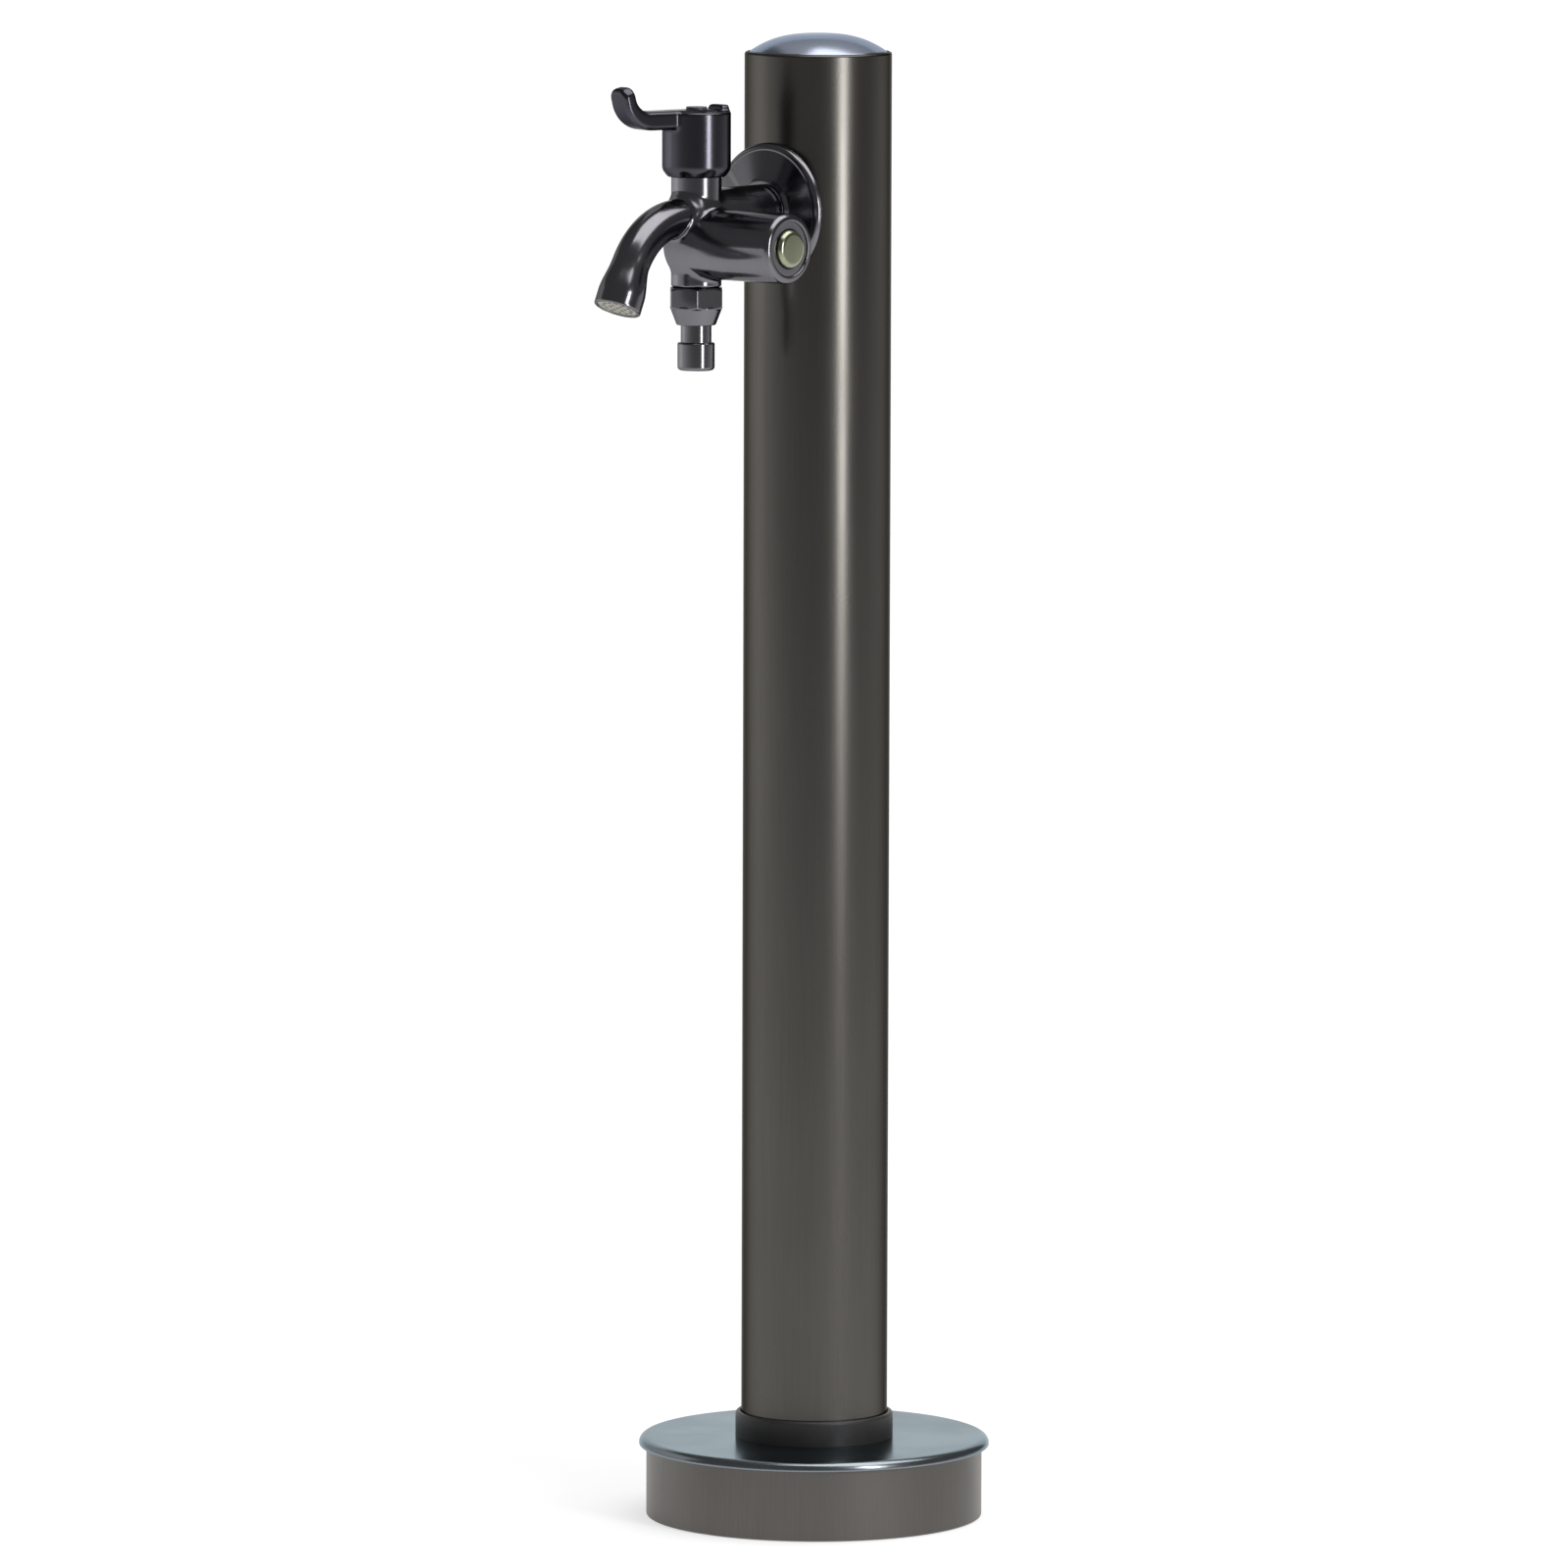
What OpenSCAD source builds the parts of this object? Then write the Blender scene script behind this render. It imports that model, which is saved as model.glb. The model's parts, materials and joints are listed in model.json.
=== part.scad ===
// Garden standpipe: a round column on a covered base, with a lever tap that has a spout and a hose outlet.
// Millimetres. The origin is on the ground at the column axis, +Z up, the spout points along -Y.

/* [Column] */
// Overall height, from the ground to the crown of the cap
total_h = 645; // [610:1:760]
// Outside diameter of the column tube
col_d = 63.5; // [62:0.5:76]
// Wall thickness of the column tube
col_wall = 1.5; // [1.2:0.1:2]
// Height of the domed cap above the tube's rim
cap_rise = 7.8; // [6.5:0.1:9]
// Fullness of the dome, where 2 is a plain shallow bowl shape
cap_full = 2.7; // [2.2:0.1:3.4]
// Length of the cap's plug inside the tube
cap_plug = 14; // [12:1:20]
// Radius of the tube's rounded top edge
rim_round = 1.2; // [0.8:0.1:1.2]

/* [Base] */
// Outside diameter of the lid at its lip
lid_d = 152.4; // [138:0.2:180]
// Overhang of the lip beyond the drum
lip_over = 3.2; // [2.4:0.1:4.5]
// Gap between the drum and the base plate
plate_gap = 5.5; // [4:0.5:7.5]
// Thickness of the base plate
plate_t = 8; // [6:0.5:10]
// Height of the spigot that holds the column
spigot_h = 22; // [18:1:30]
// Wall thickness of the spigot
spigot_wall = 3; // [2.5:0.5:4]
// Distance of the anchor holes from the plate's edge
anchor_inset = 14; // [12:0.5:16]
// Diameter of an anchor hole
anchor_d = 11; // [9:0.5:13]
// Wall thickness of the base drum
drum_wall = 1.5; // [1.2:0.1:2]
// Height of the lid's top above the ground
cover_h = 35; // [34:0.5:42]
// Thickness of the lid's flat
lid_t = 2; // [1.5:0.1:2.5]
// Thickness of the lid's rounded lip
lip_t = 4; // [3.5:0.1:5]
// Height of the foot collar above the lid
collar_h = 11; // [8:0.5:14]
// Wall thickness of the foot collar
collar_wall = 2.2; // [2:0.1:3]

/* [Supply] */
// Outside diameter of the riser pipe
riser_d = 16; // [15:0.5:18]
// Wall thickness of the riser pipe
riser_wall = 1.2; // [1:0.1:1.5]
// Core diameter of the supply thread in the socket
supply_d = 18.6; // [18:0.1:19]
// Depth of the supply thread
supply_len = 14; // [12:1:15]
// Outside diameter of the inlet nipple
inlet_d = 20.8; // [20:0.1:21]
// Bore of the inlet nipple
inlet_bore = 13; // [11:0.5:14]

/* [Tap body] */
// Height of the tap's main axis above the ground
tap_z = 570; // [540:0.5:580]
// Distance from the column axis to the valve axis
tap_reach = 80.5; // [78:0.5:92]
// Diameter of the wall flange
flange_d = 58.5; // [54:0.5:61]
// Depth of the wall flange
flange_depth = 6; // [5:0.5:7]
// Diameter of the main barrel
main_d = 24; // [23.5:0.1:26]
// Diameter of the upright neck and leg
tower_d = 21.6; // [21.2:0.1:24]
// Height of the neck's top above the main axis
neck_rise = 18.5; // [18:0.5:22]
// Diameter of the side barrel
barrel_d = 30; // [28:0.1:31]
// Distance of the side barrel's axis below the main axis
barrel_drop = 11.2; // [9.8:0.1:11.4]
// Distance from the valve axis to the side barrel's end
barrel_len = 52.5; // [50:0.5:56]
// Bore of the selector chamber in the side barrel
chamber_d = 17; // [16:0.1:17.2]
// Bore of the cartridge pocket in the neck
pocket_d = 18; // [17.6:0.1:18.4]

/* [Spout] */
// Outside diameter of the spout tube
spout_d = 16.4; // [15.8:0.1:18.6]
// Bore of the spout tube
spout_bore = 13.6; // [13:0.1:14]
// Bend radius of the spout's centre line
spout_bend = 36; // [33:0.5:42]
// Angle of the spout's bend
spout_sweep = 65; // [55:1:75]
// Length of the flared end of the spout
spout_end = 17.5; // [14:0.5:21]
// Outside diameter of the flared end
outlet_d = 20.4; // [20:0.1:21.6]
// Diameter of the insert in the outlet
insert_d = 17.4; // [16.6:0.1:17.8]
// Depth of the insert
insert_t = 4.5; // [3.5:0.5:5.5]

/* [Handle] */
// Outside diameter of the handle cup
cup_d = 29.4; // [28.8:0.1:33]
// Height of the handle cup
cup_h = 28; // [27:0.5:31]
// Wall thickness of the handle cup
cup_wall = 1.7; // [1.5:0.1:2]
// Reach of the lever from the valve axis to its bend
lever_reach = 26.5; // [22:0.5:40]
// Thickness of the lever arm at its root
lever_t = 7.6; // [7:0.1:9]
// Thickness of the lever at its tip
tip_t = 4.6; // [4:0.1:6]
// Width of the lever
lever_w = 10.5; // [9:0.5:13]
// Bend radius of the lever's curled end
lever_bend = 11; // [9:0.5:14]
// Angle through which the lever's end curls up
lever_curl = 76; // [55:1:80]
// Angle of the closed lever from the spout's line
lever_turn = -15; // [-30:1:30]
// Height of the raised lip at the back of the cup
rear_lip = 2.6; // [1.5:0.1:3]
// Diameter of the index disc
index_d = 9; // [8.6:0.1:10.4]

/* [Selector] */
// Diameter of the selector knob
knob_d = 16.5; // [15.6:0.1:17]
// Projection of the knob beyond the side barrel
knob_out = 1.8; // [1:0.1:6]
// Diameter of the valve stems
stem_d = 8; // [7.6:0.1:8.2]
// Angle that the selector's blade covers
blade_angle = 100; // [90:1:110]

/* [Hose outlet] */
// Distance of the leg's shoulder below the side barrel's axis
leg_drop = 18.3; // [17.8:0.1:24]
// Outside diameter of the leg's male thread
male_d = 19.6; // [19:0.1:20]
// Width of the union nut across its flats
nut_af = 22; // [22:0.1:24]
// Height of the nut's hexagonal part
nut_hex_h = 9.4; // [9:0.1:11]
// Height of the nut's tapered part
nut_taper_h = 6.8; // [6.5:0.1:8]
// Diameter of the nipple's neck
neck_d = 13.2; // [12.6:0.1:15]
// Diameter of the nipple's collar
nipple_d = 16; // [15.4:0.1:17]
// Length of the nipple's collar
nipple_len = 12; // [10:0.5:15]
// Length of the nipple's neck below the nut
nipple_neck = 7.4; // [6:0.1:10]
// Bore of the nipple
nipple_bore = 9; // [8:0.1:9.6]

/* [Clearances] */
// Radial gap between pieces that slide or lift off
slide_gap = 0.3; // [0.2:0.05:0.4]
// Radial gap of a running stem
run_gap = 0.05; // [0.02:0.01:0.08]
// Radial gap of a threaded, pushed or brazed fit
fit_gap = 0.05; // [0.02:0.01:0.1]
// Radial gap of a hole that a screw passes through
hole_gap = 0.2; // [0.1:0.05:0.3]

/* [Hidden] */
$fn = 64;
eps = 0.5;
ring_cord = 1.5;
ring_groove_h = 2;
ring_slack = 0.1;
head_gap = 0.1;
wall_cut = 10;

col_r = col_d / 2;
col_in = col_r - col_wall;
col_top = total_h - cap_rise;
plug_r = col_in - fit_gap;
cap_seam = 0.5;
cap_wall = 2.4;
cap_ring_z = 6;

spigot_r = col_in - fit_gap;
spigot_in = spigot_r - spigot_wall;
foot_screw_r = 2.5;
foot_screw_z = plate_t + spigot_h * 0.45;
foot_head_r = 4.2;
foot_head_t = 2.2;
foot_count = 3;

lip_r = lid_d / 2;
drum_r = lip_r - lip_over;
drum_in = drum_r - drum_wall;
drum_lift = 0.3;
plate_r = drum_in - plate_gap;
anchor_r = plate_r - anchor_inset;
anchor_count = 4;
lid_under = cover_h - lip_t;
rib_w = 2;
rib_out = drum_in - fit_gap;
rib_in = rib_out - rib_w;
rib_drop = 3;
collar_neck_w = 1.1;
collar_foot_w = 1;
collar_in = col_r + slide_gap;
collar_out = collar_in + collar_wall;
lid_hole = collar_in + collar_neck_w;
collar_neck = lid_hole - fit_gap;
collar_foot = collar_out + collar_foot_w;
collar_bevel = 1;
collar_foot_t = 1.6;
collar_low = cover_h - lid_t - collar_foot_t;

riser_r = riser_d / 2;
riser_bore = riser_r + fit_gap;
riser_depth = 14;
socket_wall = 4;
socket_step = 2;
socket_flange_w = 7;
socket_r = supply_d / 2 + socket_wall;
socket_low = 1;
socket_flange_r = socket_r + socket_flange_w;
socket_flange_t = 3;
socket_stop = socket_low + supply_len + socket_step;
socket_top = socket_stop + riser_depth;
socket_ring_z = socket_top - 2.5 * ring_groove_h;
socket_screw_pc = socket_r + socket_flange_w / 2;
socket_screw_r = 2;
socket_screw_len = 6;
socket_screws_n = 3;
socket_head_r = 3;
socket_head_t = 1.6;
water_r = riser_r - riser_wall;

elbow_wall = 3;
elbow_r = inlet_d / 2 + elbow_wall;
elbow_leg_r = elbow_r - 0.8;
elbow_front = 25;
elbow_thread = 14;
elbow_leg = 34;
elbow_stop = 16;
elbow_back = 14;
elbow_bore = water_r + 0.6;
elbow_ring_z = tap_z - elbow_leg + 1.5 * ring_groove_h;
packing_w = 1.4;
packing_r = elbow_r + packing_w;
bush_wall = 1.6;
bush_out = 3;
bush_r = inlet_d / 2 + bush_wall;
riser_low = socket_stop;
riser_top = tap_z - elbow_stop;
spacer_z = (riser_low + riser_top) / 2;
spacer_t = 8;
spacer_wall = 3;
spacer_hub = riser_r + spacer_wall;
spacer_rim = 2.4;
spacer_arms = 3;

flange_gap = 0.2;
flange_back = col_r + flange_gap;
flange_front = flange_back + flange_depth;
flange_r = flange_d / 2;
flange_lip = 2;
flange_edge = 1;
flange_wall = 1.3;
flange_bore = inlet_d / 2 + hole_gap;
flange_land = 1.9;
flange_nose = flange_bore + flange_land;
inlet_r = inlet_d / 2;
inlet_depth = 12;
inlet_front = flange_front + inlet_depth;
inlet_gap = 1;
inlet_rear = elbow_front - elbow_thread + inlet_gap;

main_r = main_d / 2;
tower_r = tower_d / 2;
barrel_r = barrel_d / 2;
barrel_z = tap_z - barrel_drop;
barrel_back = 7;
barrel_round = 5;
barrel_edge = 1.5;
chamber_r = chamber_d / 2;
chamber_back = 5;
neck_top = tap_z + neck_rise;
pocket_r = pocket_d / 2;
floor_t = 3;
pocket_floor = barrel_z + chamber_r + floor_t;
seat_port_r = 4;
feed_r = 4.6;
feed_step = 0.4;
feed_z = pocket_floor + feed_r + feed_step;
leg_z = barrel_z - leg_drop;
male_len = 8.5;
male_low = leg_z - male_len;
leg_bore_r = 5;
nose_step = 0.7;
nose_len = tower_r + nose_step;
nose_cone = 5;
nose_y = tap_reach + nose_len;
nose_lip = 0.8;
nose_r = spout_d / 2 + nose_lip;
tongue_len = 2;
tongue_wall = 1.6;
tongue_r = spout_bore / 2 - hole_gap;
tongue_bore_r = tongue_r - tongue_wall;
front_port_r = 3.6;
port_inset = 0.3;
front_port_z = barrel_z + chamber_r - front_port_r - port_inset;

flare_len = 8;
insert_r = insert_d / 2;
insert_set = 0.6;
spray_hole_r = 1;

cup_r = cup_d / 2;
cup_in = cup_r - cup_wall;
cup_lap = 1.5;
cup_low = neck_top - cup_lap;
cup_top = cup_low + cup_h;
cup_chamfer = 3.3;
cup_gap = 0.4;
cup_mouth_w = 1;
cup_roof_t = 10;
cup_mouth = tower_r + cup_gap;
cup_mouth_out = cup_mouth + cup_mouth_w;
cup_roof = cup_top - cup_roof_t;
cup_edge = 0.8;
stem_r = stem_d / 2;
stem_bore = stem_r + run_gap;
hub_wall = 2.5;
hub_drop = 5;
stem_in = 3;
hub_r = stem_r + hub_wall;
hub_low = cup_roof - hub_drop;
stem_top = cup_roof + stem_in;
screw_r = 2;
screw_head_r = 3.4;
screw_head_t = 2.2;
screw_seat_t = 2;
screw_in = 6;
screw_seat = stem_top + screw_seat_t;
screw_low = stem_top - screw_in;
index_r = index_d / 2;
index_sink = 1.4;
index_out = 1.2;
lever_lift = 0.8;
pad_top = cup_top + lever_lift;
pad_back = 6;
pad_slope = 2.5;
arm_z = pad_top - lever_t / 2;
index_seat = pad_top - index_sink;
curl_z = arm_z + lever_bend;
tip_run = 3.6;
rear_lip_w = 9;
rear_lip_t = 2.6;
rear_lip_root = 1;
rear_lip_r = cup_r - cup_edge - 0.3;

cart_r = pocket_r - fit_gap;
cart_gap = 0.4;
cage_wall = 1.3;
cart_low = pocket_floor + cart_gap;
cage_in = cart_r - cage_wall;
seal_t = 1.6;
disc_r = cage_in - slide_gap;
disc_port_r = 1.8;
disc_port_x = 2.6;
disc_notch_r = 3.4;
disc_t = 2.6;
disc_z = pocket_floor + seal_t;
foot_z = disc_z + 2 * disc_t;
foot_t = 2.2;
cage_top = foot_z + foot_t + cart_gap;
cage_slot_w = 7;
cart_hex_af = 18.6;
cart_hex_t = 4;
guide_wall = 2;
guide_gap = 0.8;
guide_r = stem_r + guide_wall;
guide_top = hub_low - guide_gap;
stem_ring_z = neck_top + cart_hex_t / 2 - ring_groove_h / 2;

knob_r = knob_d / 2;
gland_inset = 3.4;
gland_len = 12;
gland_sink = 0.8;
gland_r = barrel_r - gland_inset;
gland_x = barrel_len - gland_len;
gland_floor = 6;
gland_front = barrel_len - gland_sink;
knob_gap = 0.4;
knob_lift = 0.6;
knob_cup = knob_r + knob_gap;
knob_x = gland_x + gland_floor + knob_lift;
knob_end = barrel_len + knob_out;
knob_edge = 1.6;
select_stem_end = barrel_len;
journal_x = 8;
journal_t = 4;
blade_x = -4;
blade_gap = 0.1;
blade_t = 2.6;
blade_r = chamber_r - blade_gap;
blade_in = blade_r - blade_t;
select_ring_x = gland_x + gland_floor / 2 - ring_groove_h / 2;

nut_gap = 0.4;
nut_turn = 12;
nut_low = leg_z - nut_hex_h - nut_taper_h - nut_gap;
nut_mid = nut_low + nut_taper_h;
nut_top = nut_mid + nut_hex_h;
nut_bore = male_d / 2 + fit_gap;
nut_mouth = neck_d / 2 + slide_gap;
nut_end_wall = 0.9;
nut_low_r = nut_mouth + nut_end_wall;
washer_t = 1.6;
nip_flange_t = 2;
nut_floor = male_low - washer_t - nip_flange_t;
nip_flange_r = nut_bore - slide_gap;
nip_low = nut_low - nipple_neck - nipple_len;
nip_round = 1.6;
nip_bevel = 0.8;

// Points of an arc, for outlines
function arc(cx, cy, r, a0, a1, n) =
    [for (i = [0:n]) [cx + r * cos(a0 + (a1 - a0) * i / n), cy + r * sin(a0 + (a1 - a0) * i / n)]];

// Points along one side of the lever's curled end, which thins towards the tip
function curl(side, n) =
    [for (i = [0:n])
        let (a = lever_curl * i / n, r = lever_bend + side * (lever_t + (tip_t - lever_t) * i / n) / 2)
        [lever_reach + r * sin(a), curl_z - r * cos(a)]];

// Puts a shape's +Z along the spout's direction at a distance from the column axis
module to_front(y, z) {
    translate([0, -y, z])
        rotate([90, 0, 0])
            children();
}

// Puts a shape's +Z along the side barrel's axis
module to_side(x) {
    translate([x, -tap_reach, barrel_z])
        rotate([0, 90, 0])
            children();
}

module at_valve(z) {
    translate([0, -tap_reach, z])
        children();
}

// Turns a shape about the valve axis to the lever's closed position
module at_lever(z) {
    at_valve(z)
        rotate([0, 0, lever_turn])
            children();
}

module spout_frame() {
    translate([0, -nose_y, tap_z - spout_bend])
        rotate([180, -90, 0])
            children();
}

module spout_tip() {
    rotate([0, 0, spout_sweep])
        translate([spout_bend, 0, 0])
            rotate([-90, 0, 0])
                children();
}

module seal_ring(r) {
    rotate_extrude()
        translate([r, 0])
            circle(d = ring_cord);
}

module base_plate() {
    color("dimgray")
        difference() {
            union() {
                cylinder(h = plate_t, r = plate_r);
                cylinder(h = plate_t + spigot_h, r = spigot_r);
            }
            translate([0, 0, plate_t])
                cylinder(h = spigot_h + eps, r = spigot_in);
            translate([0, 0, -eps])
                cylinder(h = plate_t + 2 * eps, r = socket_r + hole_gap);
            for (i = [0:anchor_count - 1])
                rotate([0, 0, 45 + 360 / anchor_count * i])
                    translate([anchor_r, 0, -eps])
                        cylinder(h = plate_t + 2 * eps, d = anchor_d);
            for (i = [0:foot_count - 1])
                rotate([0, 0, 90 + 360 / foot_count * i])
                    translate([spigot_in - eps, 0, foot_screw_z])
                        rotate([0, 90, 0])
                            cylinder(h = spigot_wall + 2 * eps, r = foot_screw_r + fit_gap);
            for (i = [0:socket_screws_n - 1])
                rotate([0, 0, 30 + 360 / socket_screws_n * i])
                    translate([socket_screw_pc, 0, plate_t + socket_flange_t - socket_screw_len - eps])
                        cylinder(h = socket_screw_len + eps, r = socket_screw_r + fit_gap);
        }
}

module foot_screws() {
    color("silver")
        for (i = [0:foot_count - 1])
            rotate([0, 0, 90 + 360 / foot_count * i])
                translate([spigot_in, 0, foot_screw_z])
                    rotate([0, 90, 0])
                        difference() {
                            union() {
                                cylinder(h = col_r - spigot_in + eps, r = foot_screw_r);
                                translate([0, 0, col_r - spigot_in + head_gap])
                                    cylinder(h = foot_head_t, r = foot_head_r);
                            }
                            translate([0, 0, col_r - spigot_in + head_gap + foot_head_t / 2])
                                cylinder(h = foot_head_t, r = foot_head_r / 2, $fn = 6);
                        }
}

module supply_socket() {
    color("darkgoldenrod")
        difference() {
            union() {
                translate([0, 0, socket_low])
                    cylinder(h = socket_top - socket_low, r = socket_r);
                translate([0, 0, plate_t])
                    cylinder(h = socket_flange_t, r = socket_flange_r);
            }
            translate([0, 0, socket_low - eps])
                cylinder(h = supply_len + eps, d = supply_d);
            cylinder(h = socket_top, r = water_r);
            translate([0, 0, socket_stop])
                cylinder(h = socket_top, r = riser_bore);
            translate([0, 0, socket_ring_z])
                cylinder(h = ring_groove_h, r = riser_bore + ring_cord + ring_slack);
            for (i = [0:socket_screws_n - 1])
                rotate([0, 0, 30 + 360 / socket_screws_n * i])
                    translate([socket_screw_pc, 0, plate_t - eps])
                        cylinder(h = socket_flange_t + 2 * eps, r = socket_screw_r + hole_gap);
        }
}

module socket_screws() {
    color("silver")
        for (i = [0:socket_screws_n - 1])
            rotate([0, 0, 30 + 360 / socket_screws_n * i])
                translate([socket_screw_pc, 0, plate_t + socket_flange_t])
                    difference() {
                        union() {
                            translate([0, 0, -socket_screw_len])
                                cylinder(h = socket_screw_len + eps, r = socket_screw_r);
                            cylinder(h = socket_head_t, r = socket_head_r);
                        }
                        translate([0, 0, socket_head_t / 2])
                            cylinder(h = socket_head_t, r = socket_head_r / 2, $fn = 6);
                    }
}

module column_tube() {
    color("slategray")
        difference() {
            rotate_extrude()
                polygon(concat([[col_in, plate_t], [col_r, plate_t]],
                               arc(col_r - rim_round, col_top - rim_round, rim_round, 0, 90, 4),
                               [[col_in, col_top]]));
            to_front(col_in - wall_cut, tap_z)
                cylinder(h = 2 * wall_cut, r = bush_r + fit_gap);
            for (i = [0:foot_count - 1])
                rotate([0, 0, 90 + 360 / foot_count * i])
                    translate([col_in - eps, 0, foot_screw_z])
                        rotate([0, 90, 0])
                            cylinder(h = col_wall + 2 * eps, r = foot_screw_r + hole_gap);
        }
}

module cap_ring() {
    color("black")
        translate([0, 0, col_top - cap_ring_z])
            seal_ring(plug_r - ring_cord / 2);
}

module column_cap() {
    color("lightsteelblue")
        translate([0, 0, col_top])
            difference() {
                rotate_extrude()
                    polygon(concat([[0, -cap_wall], [plug_r - 2 * cap_wall, -cap_wall],
                                    [plug_r - 2 * cap_wall, -cap_plug], [plug_r, -cap_plug],
                                    [plug_r, -2 * cap_seam], [plug_r - cap_seam, -2 * cap_seam]],
                                   [for (i = [0:12])
                                       let (t = 1 - pow(1 - i / 12, 1.6))
                                       [(plug_r - cap_seam / 2) * pow(1 - t, 1 / cap_full), cap_rise * t]]));
                translate([0, 0, -cap_ring_z - ring_groove_h / 2])
                    difference() {
                        cylinder(h = ring_groove_h, r = col_r);
                        translate([0, 0, -eps])
                            cylinder(h = ring_groove_h + 2 * eps, r = plug_r - ring_cord - ring_slack);
                    }
            }
}

module base_drum() {
    color("rosybrown")
        translate([0, 0, drum_lift])
            difference() {
                cylinder(h = lid_under - drum_lift, r = drum_r);
                translate([0, 0, -eps])
                    cylinder(h = lid_under + 2 * eps, r = drum_in);
            }
}

module base_lid() {
    color("lightslategray")
        rotate_extrude()
            polygon(concat([[lid_hole, cover_h - lid_t], [rib_in, cover_h - lid_t],
                            [rib_in, lid_under - rib_drop], [rib_out, lid_under - rib_drop],
                            [rib_out, lid_under]],
                           arc(lip_r - lip_t / 2, cover_h - lip_t / 2, lip_t / 2, -90, 90, 8),
                           [[lid_hole, cover_h]]));
}

module foot_collar() {
    color("black")
        rotate_extrude()
            polygon([[collar_in, collar_low], [collar_foot, collar_low],
                     [collar_foot, cover_h - lid_t], [collar_neck, cover_h - lid_t], [collar_neck, cover_h],
                     [collar_out, cover_h], [collar_out, cover_h + collar_h - collar_bevel],
                     [collar_out - collar_bevel, cover_h + collar_h], [collar_in, cover_h + collar_h]]);
}

module riser_pipe() {
    color("peru")
        difference() {
            translate([0, 0, riser_low])
                cylinder(h = riser_top - riser_low, r = riser_r);
            translate([0, 0, riser_low - eps])
                cylinder(h = riser_top - riser_low + 2 * eps, r = water_r);
        }
}

module riser_rings() {
    color("black") {
        translate([0, 0, socket_ring_z + ring_groove_h / 2])
            seal_ring(riser_bore + ring_cord / 2);
        translate([0, 0, elbow_ring_z + ring_groove_h / 2])
            seal_ring(riser_bore + ring_cord / 2);
    }
}

module riser_spacer() {
    color("gray")
        translate([0, 0, spacer_z])
            difference() {
                union() {
                    difference() {
                        cylinder(h = spacer_t, r = col_in - fit_gap);
                        translate([0, 0, -eps])
                            cylinder(h = spacer_t + 2 * eps, r = col_in - spacer_rim);
                    }
                    cylinder(h = spacer_t, r = spacer_hub);
                    for (i = [0:spacer_arms - 1])
                        rotate([0, 0, 360 / spacer_arms * i])
                            translate([0, -spacer_wall / 2, 0])
                                cube([col_in - spacer_rim + eps, spacer_wall, spacer_t]);
                }
                translate([0, 0, -eps])
                    cylinder(h = spacer_t + 2 * eps, r = riser_bore);
            }
}

module tap_elbow() {
    color("darkgoldenrod")
        difference() {
            union() {
                to_front(-elbow_back, tap_z)
                    cylinder(h = elbow_front + elbow_back, r = elbow_r);
                translate([0, 0, tap_z - elbow_leg])
                    cylinder(h = elbow_leg, r = elbow_leg_r);
            }
            to_front(elbow_front - elbow_thread, tap_z)
                cylinder(h = elbow_thread + eps, r = inlet_r + fit_gap);
            to_front(-elbow_bore, tap_z)
                cylinder(h = elbow_front, r = elbow_bore);
            translate([0, 0, tap_z - elbow_leg])
                cylinder(h = elbow_leg, r = water_r);
            translate([0, 0, tap_z - elbow_leg - eps])
                cylinder(h = elbow_leg - elbow_stop + eps, r = riser_bore);
            translate([0, 0, elbow_ring_z])
                cylinder(h = ring_groove_h, r = riser_bore + ring_cord + ring_slack);
        }
}

module elbow_packing() {
    color("black")
        difference() {
            intersection() {
                to_front(elbow_front, tap_z)
                    cylinder(h = col_in, r = packing_r);
                translate([0, 0, tap_z - packing_r - 1])
                    cylinder(h = 2 * packing_r + 2, r = col_in - fit_gap);
            }
            to_front(elbow_front - eps, tap_z)
                cylinder(h = col_in, r = bush_r + fit_gap);
        }
}

module wall_bush() {
    color("white")
        difference() {
            to_front(elbow_front, tap_z)
                cylinder(h = flange_back - elbow_front + bush_out, r = bush_r);
            to_front(elbow_front - eps, tap_z)
                cylinder(h = flange_back - elbow_front + bush_out + 2 * eps, r = inlet_r + fit_gap);
        }
}

module inlet_nipple() {
    color("darkgoldenrod")
        difference() {
            to_front(inlet_rear, tap_z)
                cylinder(h = inlet_front - inlet_rear, r = inlet_r);
            to_front(inlet_rear - eps, tap_z)
                cylinder(h = inlet_front - inlet_rear + 2 * eps, d = inlet_bore);
        }
}

module wall_flange() {
    color("silver")
        to_front(flange_back, tap_z)
            rotate_extrude()
                polygon([[flange_r - flange_lip - flange_wall, 0], [flange_r, 0], [flange_r, flange_lip],
                         [flange_r - flange_lip, flange_lip],
                         [flange_nose + flange_edge, flange_depth - flange_edge],
                         [flange_nose, flange_depth], [flange_bore, flange_depth],
                         [flange_bore, flange_depth - flange_wall],
                         [flange_bore + flange_edge, flange_depth - flange_wall]]);
}

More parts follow.
